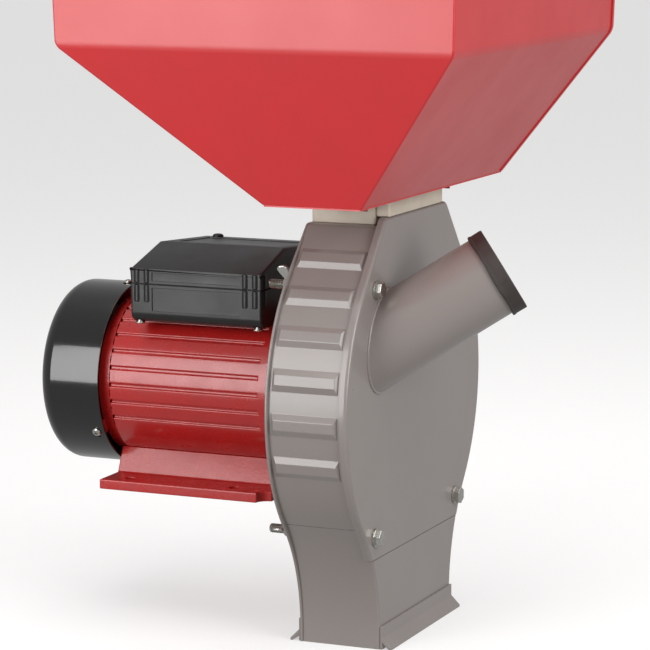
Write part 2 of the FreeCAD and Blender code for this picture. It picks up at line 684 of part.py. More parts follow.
def make_outlet_duct():
    # Three walls below the chamber; the rear plate is the fourth.
    sheet_mm = mm("wall_sheet")
    radius, foot, rise, half = mm("body_radius"), mm("foot_half"), mm("top_rise"), mm("top_half")
    front = mm("cover_front")
    outer = cased(radius, foot, rise, half, (mm("chamber_rear"), front), mm("corner_round"))
    inner = cased(radius - sheet_mm, foot - sheet_mm, rise, half, (mm("chamber_rear") - 1, front - sheet_mm),
                  mm("corner_round"))
    above = box_at((-FAR, FAR), (-FAR, FAR), (seam, FAR * 2))
    cover_room = box_at((wall_front, FAR), (-FAR, FAR), (mm("cover_foot - cover_gap"), seam + 1))
    ground = box_at((mm("chamber_rear") - 2, front - sheet_mm), (-foot + sheet_mm, foot - sheet_mm), (-1, 1))
    return outer.cut([inner, above, cover_room, ground]).removeSplitter()


def make_outlet_lips():
    # A strip along the rear and the front of the outlet, bent outwards as a foot.
    reach, rise, thick, half = mm("lip_reach"), mm("lip_rise"), mm("lip_sheet"), mm("foot_half")
    strips = []
    for edge, way in ((rear_back, -1), (mm("cover_front"), 1)):
        corners = [(0, 0), (reach * way, 0), (reach * way, thick), (thick * way, thick + reach * 0.8),
                   (thick * way, rise), (0, rise)]
        points = [Vector(edge + x, -half, z) for x, z in corners]
        face = Part.Face(Part.makePolygon(points + points[:1]))
        hollow = [(thick * way, 0), ((reach - thick) * way, 0), (thick * way, reach * 0.8 - thick)]
        inside = [Vector(edge + x, -half, z) for x, z in hollow]
        gap = Part.Face(Part.makePolygon(inside + inside[:1]))
        strip = face.extrude(Vector(0, 2 * half, 0)).cut(gap.extrude(Vector(0, 2 * half, 0)))
        strips.append(strip)
    return Part.makeCompound(strips)


keep(solid("rear_plate", make_rear_plate()), "rear_plate")
keep(solid("casing_wall", make_casing_wall()), "casing_wall")
keep(solid("outlet_duct", make_outlet_duct()), "outlet_duct")
keep(solid("outlet_lips", make_outlet_lips()), "outlet_lips")


# ---- Sieve and its seats ---------------------------------------------------------------------

def make_sieve():
    inner, outer = mm("sieve_radius"), mm("sieve_radius + sieve_sheet")
    rear, front = mm("sieve_rear"), mm("sieve_front")
    ring = bar_x((rear, front), outer).cut(bar_x((rear - 1, front + 1), inner))
    centre = mm("axis_height")
    spread = math.radians(mm("sieve_open"))
    reach = outer * 1.5
    wedge = [Vector(rear - 1, 0, centre), Vector(rear - 1, -reach * math.tan(spread), centre + reach),
             Vector(rear - 1, reach * math.tan(spread), centre + reach)]
    gap = Part.Face(Part.makePolygon(wedge + wedge[:1])).extrude(Vector(front - rear + 2, 0, 0))
    step = math.degrees(mm("sieve_spacing") / inner)
    margin = mm("sieve_open") + step
    count = int((360 - 2 * margin) // step)
    holes = []
    for row_index in range(SIEVE_ROWS):
        x = (rear + front) / 2 + (row_index - (SIEVE_ROWS - 1) / 2) * mm("sieve_pitch")
        shift = step / 2 if row_index % 2 else 0
        for i in range(count):
            angle = math.radians(90 + margin + shift + i * (360 - 2 * margin) / count)
            way = Vector(0, math.cos(angle), math.sin(angle))
            start = Vector(x, 0, centre) + way * (inner - 2)
            holes.append(Part.makeCylinder(mm("sieve_hole"), mm("sieve_sheet") + 4, start, way))
    return ring.cut(gap).cut(Part.makeCompound(holes))


keep(solid("sieve", make_sieve()), "sieve")
keep(turned("rear_sieve_seat", pipe(("chamber_rear", "chamber_rear + seat_depth"), "seat_inner", "seat_outer")),
     "rear_sieve_seat")

# ---- Front cover and cob tube ----------------------------------------------------------------

def tube_bar(radius, start, end):
    return Part.makeCylinder(radius, end - start, tube_foot + tube_dir * start, tube_dir)


def make_front_cover():
    gap, thick = mm("cover_gap"), mm("cover_sheet")
    radius = mm("body_radius") + gap
    foot = mm("foot_half") + gap
    back = mm("cover_back")
    pan = cased(radius + thick, foot + thick, mm("cover_rise"), mm("top_half"), (back, mm("cover_front")),
                mm("corner_round"))
    front_edges = [edge for edge in pan.Edges if edge.BoundBox.XMin > mm("cover_front") - 1e-6
                   and edge.BoundBox.ZMax > 1]
    pan = pan.makeFillet(mm("cover_round"), front_edges)
    inside = cased(radius, foot, mm("cover_rise") - thick, mm("top_half") - thick * 0.7,
                   (back - 1, mm("cover_front") - thick), mm("corner_round") - thick)
    below = box_at((-FAR, FAR), (-FAR, FAR), (-10, mm("cover_foot")))
    span = (back - 1, mm("cover_front") + 1)
    holes = bolt_holes(span, mm("bolt_radius + fit"))
    holes.append(tube_bar(mm("tube_radius - tube_sheet"), -60, 60))
    return pan.cut([inside, below] + holes)


def make_cob_tube():
    outer = tube_bar(mm("tube_radius"), -60, mm("tube_reach"))
    inner = tube_bar(mm("tube_radius - tube_sheet"), -61, mm("tube_reach") + 1)
    behind = box_at((-FAR, mm("cover_front")), (-FAR, FAR), (-FAR, FAR * 2))
    return outer.cut([inner, behind])


def make_tube_cap():
    sleeve, end = mm("cap_sleeve"), mm("cap_end")
    bore = mm("tube_radius + cap_gap")
    outer = bore + mm("cap_wall")
    start = mm("tube_reach") - sleeve
    finish = mm("tube_reach") + mm("cap_gap") + end
    cup = tube_bar(outer, start, finish)
    rims = [edge for edge in cup.Edges if isinstance(edge.Curve, Part.Circle)]
    cup = cup.makeFillet(min(mm("cap_round"), end * 0.45), rims)
    return cup.cut(tube_bar(bore, start - 1, mm("tube_reach + cap_gap")))


keep(solid("front_cover", make_front_cover()), "front_cover")
keep(solid("cob_tube", make_cob_tube()), "cob_tube")
keep(solid("tube_cap", make_tube_cap()), "tube_cap")
front_seat_ring = turned("frontSeatRing", pipe(("cover_inside - seat_depth", "cover_inside"),
                                               "seat_inner", "seat_outer"))
tube_bore = solid("tubeBore", tube_bar(mm("tube_radius - tube_sheet"), -60, 60))
keep(cut("front_sieve_seat", front_seat_ring, tube_bore), "front_sieve_seat")

# ---- Long bolts, washers and wing nuts -------------------------------------------------------

bolt_shank = rod("boltShank", ("bolt_end", "cover_front + washer_sheet"), "bolt_radius", "0", "0")
bolt_head = doc.addObject("Part::Prism", "boltHead")
bolt_head.Polygon = 6
bolt_head.Placement = Placement(Vector(), Rotation(Vector(0, 1, 0), 90))
bolt_head.setExpression("Circumradius", bound("head_radius"))
bolt_head.setExpression("Height", bound("head_depth"))
bolt_head.setExpression("Placement.Base.x", bound("cover_front + washer_sheet"))
cover_bolt = joined("coverBolt", bolt_shank, bolt_head)
washer = turned("coverWasher", pipe(("cover_front", "cover_front + washer_sheet"), "bolt_radius + fit",
                                    "washer_radius"), "0", "0")
bolt_moves = [shifted(0, y, z) for y, z in bolt_places]
doc.recompute()
bolt_set = solid("boltSet", Part.makeCompound([cover_bolt.Shape, washer.Shape]))
keep(repeated("cover_bolts", bolt_set, bolt_moves), "cover_bolts")


def make_wing_nut():
    # A hub with two rounded wings, along the bolt at the origin.
    back = rear_back - mm("shell_gap")
    front_x = back - mm("wing_depth")
    hub = bar_x((front_x, back), mm("wing_hub"), 0, 0)
    reach, rise, thick = mm("wing_reach"), mm("wing_rise"), mm("wing_sheet")
    wings = []
    for side in (-1, 1):
        root = Vector(back - 2, -thick / 2, side * mm("wing_hub * 0.6"))
        tip_low = Vector(back - rise * 0.7, -thick / 2, side * reach)
        tip_high = Vector(back - rise * 1.9, -thick / 2, side * reach * 0.92)
        inner = Vector(front_x + 1, -thick / 2, side * mm("wing_hub * 0.6"))
        tip = Vector(back - rise * 1.35, -thick / 2, side * reach * 1.04)
        edges = [Part.LineSegment(root, tip_low).toShape(), Part.Arc(tip_low, tip, tip_high).toShape(),
                 Part.LineSegment(tip_high, inner).toShape(), Part.LineSegment(inner, root).toShape()]
        wings.append(Part.Face(Part.Wire(edges)).extrude(Vector(0, thick, 0)))
    nut = hub.fuse(wings)
    return nut.cut(bar_x((front_x - 30, back + 1), mm("bolt_radius + thread_play"), 0, 0)).removeSplitter()


wing_shape = make_wing_nut()
for index, ((y, z), turn) in enumerate(zip(bolt_places, WING_TURNS), start=1):
    nut = wing_shape.copy()
    nut.Placement = Placement(Vector(0, y, z), Rotation(Vector(1, 0, 0), turn))
    keep(solid(f"wing_nut_{index}", nut), f"wing_nut_{index}")

# ---- Feed collar, slide gate and hopper ------------------------------------------------------

collar_y = ("-collar_half", "collar_half")
throat_y = ("-throat_half", "throat_half")
rear_block = block("rearBlock", ("collar_rear", "collar_split"), collar_y, ("wall_top", "collar_top"))
rear_cuts = [block("rearThroat", ("throat_rear", "throat_front"), throat_y,
                   ("wall_top - 1", "collar_top + 1"))]
for side, word in (("-screw_side", "Near"), ("screw_side", "Far")):
    rear_cuts.append(post("rearHole" + word, ("wall_top - 1", "collar_top + 1"), "screw_radius + fit",
                          "rear_screw_x", side))
keep(cut("feed_collar_rear", rear_block, *rear_cuts), "feed_collar_rear")
front_block = block("frontBlock", ("collar_split", "collar_front"), collar_y, ("front_base", "collar_top"))
front_cuts = []
for side, word in (("-screw_side", "Near"), ("screw_side", "Far")):
    front_cuts.append(post("frontHole" + word, ("collar_top - screw_bite - 1", "collar_top + 1"),
                           "screw_radius + fit", "front_screw_x", side))
keep(cut("feed_collar_front", front_block, *front_cuts), "feed_collar_front")

rails = []
for word, span, hole_x in (("rear", ("collar_rear", "gate_rear - gate_play"), "rear_screw_x"),
                           ("front", ("gate_front + gate_play", "collar_front"), "front_screw_x")):
    rail = block(word + "Rail", span, collar_y, ("collar_top", "slot_top"))
    holes = [post(word + "RailHole" + tag, ("collar_top - 1", "slot_top + 1"), "screw_radius + fit",
                  hole_x, side) for side, tag in (("-screw_side", "Near"), ("screw_side", "Far"))]
    rails.append(cut(word + "RailDrilled", rail, *holes))
doc.recompute()
keep(solid("gate_rails", Part.makeCompound([rail.Shape for rail in rails])), "gate_rails")

gate_x = ("gate_rear", "gate_front")
gate_plate = block("gatePlate", gate_x, ("gate_near", "gate_far"), ("gate_low", "gate_low + gate_sheet"))
near_tab = block("nearTab", gate_x, ("gate_near - gate_sheet", "gate_near"),
                 ("gate_low - gate_tab", "gate_low + gate_sheet"))
far_tab = block("farTab", gate_x, ("gate_far", "gate_far + gate_sheet"),
                ("gate_low - gate_tab", "gate_low + gate_sheet"))
gate_hole = block("gateHole", ("throat_rear", "throat_front"),
                  ("gate_window - throat_half", "gate_window + throat_half"),
                  ("gate_low - 1", "gate_low + gate_sheet + 1"))
keep(cut("slide_gate", joined("gateBent", gate_plate, near_tab, far_tab), gate_hole), "slide_gate")

floor_plate = block("floorPlate", ("floor_rear", "floor_front"), ("-floor_half", "floor_half"),
                    ("slot_top", "hopper_floor"))
floor_cuts = [block("floorThroat", ("throat_rear", "throat_front"), throat_y,
                    ("slot_top - 1", "hopper_floor + 1"))]
for hole_x, word in (("rear_screw_x", "Rear"), ("front_screw_x", "Front")):
    for side, tag in (("-screw_side", "Near"), ("screw_side", "Far")):
        floor_cuts.append(post("floorHole" + word + tag, ("slot_top - 1", "hopper_floor + 1"),
                               "screw_radius + fit", hole_x, side))
keep(cut("hopper_floor", floor_plate, *floor_cuts), "hopper_floor")


def skinned(levels):
    # A solid through loops of four corners, one loop above the other, with flat faces between.
    faces = []
    for lower, upper in zip(levels, levels[1:]):
        for i in range(4):
            j = (i + 1) % 4
            faces.append(Part.Face(Part.makePolygon([lower[i], lower[j], upper[j], upper[i], lower[i]])))
    for loop in (levels[0], levels[-1]):
        faces.append(Part.Face(Part.makePolygon(loop + loop[:1])))
    shape = Part.makeSolid(Part.makeShell(faces))
    if shape.Volume < 0:
        shape.reverse()
    return shape


def hopper_levels(inset=0.0):
    # Height, rear edge, front edge and half length of the hopper's walls at its three levels.
    levels = (
        ("hopper_floor", "floor_rear", "floor_front", "floor_half"),
        ("hopper_fold", "fold_rear", "fold_front", "fold_half"),
        ("hopper_top - rim_depth", "mouth_rear", "mouth_front", "mouth_half"),
    )
    return [(mm(z), mm(rear) + inset, mm(front) - inset, mm(half) - inset) for z, rear, front, half in levels]


def hopper_panel(side):
    loops = []
    for outside, inside in zip(hopper_levels(), hopper_levels(mm("hopper_sheet"))):
        z, rear, front, half = outside
        rear_in, front_in, half_in = inside[1:]
        if side in ("left", "right"):
            way = -1 if side == "left" else 1
            loops.append([Vector(rear, way * half, z), Vector(front, way * half, z),
                          Vector(front, way * half_in, z), Vector(rear, way * half_in, z)])
        else:
            out, into = (rear, rear_in) if side == "rear" else (front, front_in)
            loops.append([Vector(out, -half_in, z), Vector(out, half_in, z), Vector(into, half_in, z),
                          Vector(into, -half_in, z)])
    return skinned(loops)


def hopper_seam(front, way):
    # The side panel's edge, lapped round the corner onto the end panel.
    width, thick = mm("seam_width"), mm("seam_sheet")
    loops = []
    for z, rear_x, front_x, half in hopper_levels():
        x, out = (front_x, 1) if front else (rear_x, -1)
        loops.append([Vector(x, way * half, z), Vector(x, way * (half - width), z),
                      Vector(x + out * thick, way * (half - width), z), Vector(x + out * thick, way * half, z)])
    return skinned(loops)


for side, way in (("left", -1), ("right", 1)):
    panel = hopper_panel(side).fuse([hopper_seam(True, way), hopper_seam(False, way)]).removeSplitter()
    keep(solid(f"hopper_{side}_panel", panel), f"hopper_{side}_panel")
for side in ("rear", "front"):
    keep(solid(f"hopper_{side}_panel", hopper_panel(side)), f"hopper_{side}_panel")

rim_z = ("hopper_top - rim_depth", "hopper_top")
rim_outer = block("rimOuter", ("mouth_rear - rim_width", "mouth_front + rim_width"),
                  ("-mouth_half - rim_width", "mouth_half + rim_width"), rim_z)
rim_inner = block("rimInner", ("mouth_rear + hopper_sheet", "mouth_front - hopper_sheet"),
                  ("-mouth_half + hopper_sheet", "mouth_half - hopper_sheet"),
                  ("hopper_top - rim_depth - 1", "hopper_top + 1"))
keep(cut("hopper_rim", rim_outer, rim_inner), "hopper_rim")

screw_head_z = ("hopper_floor", "hopper_floor + screw_cap")
nut_z = ("wall_top - wall_sheet - screw_nut", "wall_top - wall_sheet")
long_screw = joined("longScrew",
                    post("longShank", ("wall_top - wall_sheet - screw_nut - 2", "hopper_floor"), "screw_radius",
                         "rear_screw_x", "0"),
                    post("longHead", screw_head_z, "screw_head", "rear_screw_x", "0"))
short_screw = joined("shortScrew",
                     post("shortShank", ("collar_top - screw_bite", "hopper_floor"), "screw_radius",
                          "front_screw_x", "0"),
                     post("shortHead", screw_head_z, "screw_head", "front_screw_x", "0"))
nut_prism = doc.addObject("Part::Prism", "hopperNutBlank")
nut_prism.Polygon = 6
nut_prism.setExpression("Circumradius", bound("screw_head + 0.4"))
nut_prism.setExpression("Height", bound("screw_nut"))
nut_prism.setExpression("Placement.Base.x", bound("rear_screw_x"))
nut_prism.setExpression("Placement.Base.z", bound(nut_z[0]))
nut_bore = post("hopperNutBore", (nut_z[0] + " - 1", nut_z[1] + " + 1"), "screw_radius + fit",
                "rear_screw_x", "0")
hopper_nut = cut("hopperNut", nut_prism, nut_bore)
doc.recompute()
hopper_screws = []
for source in (long_screw, short_screw, hopper_nut):
    for side in (-1, 1):
        copy = source.Shape.copy()
        copy.translate(Vector(0, side * mm("screw_side"), 0))
        hopper_screws.append(copy)
keep(solid("hopper_screws", Part.makeCompound(hopper_screws)), "hopper_screws")

# ---- Motor housing, brackets and foot --------------------------------------------------------

def make_motor_housing():
    radius, centre = mm("motor_radius"), mm("axis_height")
    tube = bar_x((mm("motor_rear"), mm("motor_front")), radius)
    tube = tube.cut(bar_x((mm("motor_rear") - 1, mm("motor_front") + 1), mm("motor_bore")))
    width, deep = mm("groove_width"), mm("groove_depth")
    grooves = []
    for i in range(GROOVES):
        groove = box_at((mm("motor_rear") - 1, mm("motor_front - groove_stop")), (radius - deep, radius + 2),
                        (centre - width / 2, centre + width / 2))
        groove.rotate(Vector(0, 0, centre), Vector(1, 0, 0), mm("groove_start") + i * mm("groove_pitch"))
        grooves.append(groove)
    return tube.cut(Part.makeCompound(grooves))


def make_motor_foot():
    # Two legs and a bolting flange under the housing.
    centre = mm("axis_height")
    low = mm("foot_low")
    high = low + mm("foot_sheet")
    web_high = centre - mm("web_rise")
    side = [(mm("foot_reach"), low), (mm("foot_reach"), high), (mm("web_foot"), high),
            (mm("web_top"), web_high)]
    rear = mm("foot_rear")
    ring = [Vector(rear, y, z) for y, z in side] + [Vector(rear, -y, z) for y, z in reversed(side)]
    length = mm("foot_front - foot_rear")
    body = Part.Face(Part.makePolygon(ring + ring[:1])).extrude(Vector(length, 0, 0))
    wall = mm("foot_sheet")
    crown = centre - mm("motor_radius") - wall * 0.6
    inner = [Vector(rear, -mm("web_foot") + wall, low), Vector(rear, mm("web_foot") - wall, low),
             Vector(rear, mm("web_top") - wall, crown), Vector(rear, -mm("web_top") + wall, crown)]
    hollow = Part.Face(Part.makePolygon(inner + inner[:1])).extrude(Vector(length, 0, 0))
    tools = [hollow, bar_x((rear - 1, mm("foot_front") + 1), mm("motor_radius + shell_gap"))]
    for way in (-1, 1):
        tools.append(Part.makeCylinder(mm("foot_notch"), wall * 3,
                                       Vector(mm("foot_front"), way * mm("foot_reach"), low - wall)))
        for x in (mm("hole_rear"), mm("hole_rear + hole_span_x")):
            tools.append(Part.makeCylinder(mm("foot_hole"), wall * 3,
                                           Vector(x, way * mm("hole_span_y") / 2, low - wall)))
    return body.cut(tools)


keep(solid("motor_housing", make_motor_housing()), "motor_housing")
keep(solid("motor_foot", make_motor_foot()), "motor_foot")

spigot = "motor_bore - fit"
nose_gap = "shaft_nose + run_gap"
keep(turned("stator_core", pipe(("stator_rear", "stator_front"), "stator_bore", spigot)), "stator_core")
rear_turns = turned("rearTurns", pipe(("stator_rear - winding_reach", "stator_rear"), "winding_inner",
                                      "winding_outer"))
front_turns = turned("frontTurns", pipe(("stator_front", "stator_front + winding_reach"), "winding_inner",
                                        "winding_outer"))
doc.recompute()
keep(solid("stator_windings", Part.makeCompound([rear_turns.Shape, front_turns.Shape])), "stator_windings")

front_bracket_profile = [
    ("motor_front - bracket_spigot", "bracket_room"), ("motor_front - bracket_spigot", spigot),
    ("motor_front", spigot), ("motor_front", "bracket_radius"), ("rear_back", "bracket_radius"),
    ("rear_back", "spigot_radius"), ("chamber_rear", "spigot_radius"), ("chamber_rear", nose_gap),
    ("seal_front", nose_gap), ("seal_front", "shaft_nose + seal_wall"),
    ("front_seat + front_width", "shaft_nose + seal_wall"), ("front_seat + front_width", "front_race + fit"),
    ("front_seat", "front_race + fit"), ("front_seat", "front_race - 4"), ("front_seat - 4", "front_race - 4"),
    ("front_seat - 4", "front_race + bracket_face"), ("rear_back - bracket_face", "front_race + bracket_face"),
    ("rear_back - bracket_face", "bracket_room"),
]
front_bracket_body = turned("frontBracketBody", front_bracket_profile)
flange_bosses = solid("flangeBosses", Part.makeCompound(
    flange_bolt_bars((rear_back - mm("flange_bite + 4"), rear_back - 1), mm("bracket_boss"))))
bracket_bolt_holes = solid("bracketBoltHoles", Part.makeCompound(
    flange_bolt_bars((rear_back - mm("flange_bite + 2"), rear_back + 1), mm("screw_radius + fit"))))
keep(cut("front_bracket", joined("frontBracketBossed", front_bracket_body, flange_bosses), bracket_bolt_holes),
     "front_bracket")

rear_bracket_profile = [
    ("motor_rear + bracket_spigot", spigot), ("motor_rear", spigot), ("motor_rear", "bracket_radius"),
    ("fan_front - 4", "bracket_radius"), ("fan_front - 4", "bracket_radius - 6"),
    ("motor_rear - 4", "rear_race + 12"),
    ("rear_seat + rear_width", "rear_race + 4"), ("rear_seat - 3", "rear_race + 4"),
    ("rear_seat - 3", "shaft_rear + run_gap"), ("rear_seat", "shaft_rear + run_gap"),
    ("rear_seat", "rear_race + fit"), ("rear_seat + rear_width", "rear_race + fit"),
    ("rear_seat + rear_width", "rear_race"), ("motor_rear", "rear_race"),
    ("motor_rear + bracket_spigot", "motor_bore - 8"),
]
rear_bracket_body = turned("rearBracketBody", rear_bracket_profile)


def about_screws(piece):
    # The piece on the +Y side, turned to the place of each fan cover screw.
    copies = []
    for turn in SCREW_TURNS:
        copy = piece.copy()
        copy.rotate(Vector(0, 0, mm("axis_height")), Vector(1, 0, 0), turn)
        copies.append(copy)
    return copies


def screw_bar(radius, low, high):
    start = Vector(mm("ear_screw_x"), low, mm("axis_height"))
    return Part.makeCylinder(radius, high - low, start, Vector(0, 1, 0))


ear_flat = math.sqrt(mm("cover_radius - fan_sheet - fit") ** 2 - mm("ear_width / 2") ** 2)
ear = box_at((mm("fan_front - ear_length - 3"), mm("fan_front - 3")), (mm("bracket_radius - 5"), ear_flat),
             (mm("axis_height - ear_width / 2"), mm("axis_height + ear_width / 2")))
rear_bracket_ears = solid("rearBracketEars", Part.makeCompound(about_screws(ear)))
tapping = screw_bar(mm("shell_screw + fit"), mm("cover_radius - shell_bite") - 2, mm("cover_radius"))
rear_bracket_tapped = solid("rearBracketTapped", Part.makeCompound(about_screws(tapping)))
keep(cut("rear_bracket", joined("rearBracketEared", rear_bracket_body, rear_bracket_ears), rear_bracket_tapped),
     "rear_bracket")

# ---- Fan cover and its screws ----------------------------------------------------------------

fan_cover_body = turned("fanCoverBody", [
    ("fan_front", "cover_radius"), ("fan_rear + fan_round", "cover_radius"),
    ("fan_rear + fan_round * 0.293", "cover_radius - fan_round * 0.293"),
    ("fan_rear", "cover_radius - fan_round"), ("fan_rear", "0"), ("fan_rear + fan_sheet", "0"),
    ("fan_rear + fan_sheet", "cover_radius - fan_round"),
    ("fan_rear + fan_round * 0.4", "cover_radius - fan_round * 0.4"),
    ("fan_rear + fan_round", "cover_radius - fan_sheet"), ("fan_front", "cover_radius - fan_sheet"),
])
vents = []
for ring_index, count in enumerate(VENT_RINGS):
    middle = mm("cover_radius - vent_edge") - ring_index * mm("vent_pitch")
    vent = box_at((mm("fan_rear") - 1, mm("fan_rear + fan_sheet") + 1),
                  (middle - mm("vent_length / 2"), middle + mm("vent_length / 2")),
                  (mm("axis_height - vent_width / 2"), mm("axis_height + vent_width / 2")))
    for i in range(count):
        copy = vent.copy()
        copy.rotate(Vector(0, 0, mm("axis_height")), Vector(1, 0, 0), i * 360 / count)
        vents.append(copy)
vents += about_screws(screw_bar(mm("shell_screw + shell_gap"), mm("cover_radius") - 8, mm("cover_radius") + 8))
fan_vents = solid("fanVents", Part.makeCompound(vents))
keep(cut("fan_cover", fan_cover_body, fan_vents), "fan_cover")


def make_fan_cover_screws():
    face = mm("cover_radius")
    shank = screw_bar(mm("shell_screw"), face - mm("shell_bite"), face + 1)
    head = screw_bar(mm("shell_head"), face + mm("fit"), face + mm("fit + shell_cap"))
    head = head.makeFillet(mm("shell_cap") / 2, [edge for edge in head.Edges if edge.BoundBox.YMin > face + 2])
    return about_screws(head.fuse(shank))


def make_flange_bolts():
    # Screwed from inside the chamber, through the rear plate, into the front bracket.
    bolts = []
    shanks = flange_bolt_bars((rear_back - mm("flange_bite"), mm("chamber_rear")), mm("screw_radius"))
    heads = flange_bolt_bars((mm("chamber_rear"), mm("chamber_rear + flange_cap")), mm("screw_head"))
    for shank, head in zip(shanks, heads):
        bolts.append(shank.fuse(head).removeSplitter())
    return bolts


keep(solid("motor_screws", Part.makeCompound(make_fan_cover_screws() + make_flange_bolts())), "motor_screws")
keep(turned("shaft_seal", pipe(("seal_front - seal_depth", "seal_front"), "shaft_nose + fit",
                               "shaft_nose + seal_wall - fit")), "shaft_seal")

# ---- Shaft, bearings and rotor core ----------------------------------------------------------

shaft_profile = [
    ("fan_rear + 6", "0"), ("fan_rear + 6", "shaft_fan"), ("rear_seat - 8", "shaft_fan"),
    ("rear_seat - 8", "shaft_rear"), ("rear_seat + rear_width", "shaft_rear"),
    ("rear_seat + rear_width", "shaft_rear + shaft_step"), ("stator_rear - 4", "shaft_rear + shaft_step"),
    ("stator_rear - 4", "shaft_core"), ("stator_front", "shaft_core"),
    ("stator_front", "shaft_core - core_relief"),
    ("front_seat", "shaft_core - core_relief"), ("front_seat", "shaft_front"),
    ("front_seat + front_width + 1", "shaft_front"), ("front_seat + front_width + 1", "shaft_nose"),
    ("-disc_half", "shaft_nose"), ("-disc_half", "shaft_hub"), ("disc_half", "shaft_hub"),
    ("disc_half", "shaft_thread"), ("disc_half + washer_sheet + nut_depth + shaft_tip", "shaft_thread"),
    ("disc_half + washer_sheet + nut_depth + shaft_tip", "0"),
]
keep(turned("motor_shaft", shaft_profile), "motor_shaft")
keep(turned("rotor_core", pipe(("stator_rear", "stator_front"), "shaft_core + fit", "stator_bore - run_gap")),
     "rotor_core")


def race_profile(seat, width, race, bore, ball, outer_ring):
    middle = f"({race} + {bore}) / 2"
    if outer_ring:
        return pipe((seat, f"{seat} + {width}"), f"{middle} + {ball} + ball_gap", race)
    return pipe((seat, f"{seat} + {width}"), f"{bore} + fit", f"{middle} - {ball} - ball_gap")


BEARINGS = [
    ("front", "front_seat", "front_width", "front_race", "shaft_front", "front_ball"),
    ("rear", "rear_seat", "rear_width", "rear_race", "shaft_rear", "rear_ball"),
]
outer_rings, inner_rings, balls = [], [], []
for word, seat, width, race, bore, ball in BEARINGS:
    outer_rings.append(turned(word + "OuterRing", race_profile(seat, width, race, bore, ball, True)))
    inner_rings.append(turned(word + "InnerRing", race_profile(seat, width, race, bore, ball, False)))
    for i in range(BALLS):
        turn = math.radians(i * 360 / BALLS)
        reach = mm(f"({race} + {bore}) / 2")
        balls.append(Part.makeSphere(mm(ball), Vector(mm(f"{seat} + {width} / 2"), reach * math.cos(turn),
                                                      mm("axis_height") + reach * math.sin(turn))))
doc.recompute()
outer_set = [ring.Shape for ring in outer_rings]
keep(solid("bearing_outer_rings", Part.makeCompound(outer_set)), "bearing_outer_rings")
inner_set = [ring.Shape for ring in inner_rings] + balls
keep(solid("bearing_rings_and_balls", Part.makeCompound(inner_set)), "bearing_rings_and_balls")

# ---- Cooling fan -----------------------------------------------------------------------------

fan_hub = turned("fanHub", [
    ("fan_start + 1", "shaft_fan + fit"), ("fan_end + 1", "shaft_fan + fit"), ("fan_end + 1", "fan_radius - 6"),
    ("fan_end - 1", "fan_radius - 6"), ("fan_end - 1", "shaft_fan + 8"), ("fan_start + 1", "shaft_fan + 8"),
])
blade = box_at((mm("fan_start"), mm("fan_end")), (mm("shaft_fan + 7"), mm("fan_radius")),
               (mm("axis_height - blade_sheet / 2"), mm("axis_height + blade_sheet / 2")))
blades = []
for i in range(BLADES):
    copy = blade.copy()
    copy.rotate(Vector(0, 0, mm("axis_height")), Vector(1, 0, 0), i * 360 / BLADES)
    blades.append(copy)
fan_blades = solid("fanBlades", Part.makeCompound(blades))
keep(joined("cooling_fan", fan_hub, fan_blades), "cooling_fan")

# ---- Hammer rotor ----------------------------------------------------------------------------

def make_disc(name, x):
    # A disc on the hub seat of the shaft, drilled for the hammer pins.
    body = turned(name, pipe(x, "shaft_hub + fit", "disc_radius"))
    drill = body.newObject("Sketcher::SketchObject", name + "PinSketch")
    drill.AttachmentSupport = [(plane(body, "YZ_Plane"), "")]
    drill.MapMode = "FlatFace"
    drill.addGeometry(Part.Circle(Vector(0, mm("pin_circle"), 0), Vector(0, 0, 1), mm("pin_radius + fit")))
    drill.addConstraint(Sketcher.Constraint("PointOnObject", 0, 3, -2))
    reach = drill.addConstraint(Sketcher.Constraint("DistanceY", -1, 1, 0, 3, mm("pin_circle")))
    drill.renameConstraint(reach, "reach")
    drill.setExpression("Constraints.reach", bound("pin_circle"))
    width = drill.addConstraint(Sketcher.Constraint("Radius", 0, mm("pin_radius + fit")))
    drill.renameConstraint(width, "width")
    drill.setExpression("Constraints.width", bound("pin_radius + fit"))
    doc.recompute()
    hole = body.newObject("PartDesign::Pocket", name + "PinHole")
    hole.Profile = drill
    hole.Type = 1
    hole.Midplane = True
    doc.recompute()
    circle = body.newObject("PartDesign::PolarPattern", name + "PinCircle")
    circle.Originals = [hole]
    circle.Axis = (next(f for f in body.Origin.OriginFeatures if f.Role == "X_Axis"), [""])
    circle.Angle = 360
    circle.Occurrences = PINS
    body.Tip = circle
    return body


rear_disc = make_disc("rearDisc", ("-disc_half", "-disc_edge"))
front_disc = make_disc("frontDisc", ("disc_edge", "disc_half"))
doc.recompute()
keep(solid("rotor_discs", Part.makeCompound([rear_disc.Shape, front_disc.Shape])), "rotor_discs")
keep(turned("hub_spacer", pipe(("-disc_edge", "disc_edge"), "shaft_hub + fit", "hub_radius")), "hub_spacer")
shaft_washer = turned("shaftWasher", pipe(("disc_half", "disc_half + washer_sheet"), "shaft_thread + fit",
                                          "nut_radius"))
nut_blank = doc.addObject("Part::Prism", "shaftNutBlank")
nut_blank.Polygon = 6
nut_blank.Placement = Placement(Vector(), Rotation(Vector(0, 1, 0), 90))
nut_blank.setExpression("Circumradius", bound("nut_radius"))
nut_blank.setExpression("Height", bound("nut_depth"))
nut_blank.setExpression("Placement.Base.x", bound("disc_half + washer_sheet"))
nut_blank.setExpression("Placement.Base.z", bound("axis_height"))
nut_hole = rod("shaftNutHole", ("disc_half + washer_sheet - 1", "disc_half + washer_sheet + nut_depth + 1"),
               "shaft_thread + fit")
shaft_nut = cut("shaftNut", nut_blank, nut_hole)
doc.recompute()
keep(solid("shaft_nut", Part.makeCompound([shaft_nut.Shape, shaft_washer.Shape])), "shaft_nut")


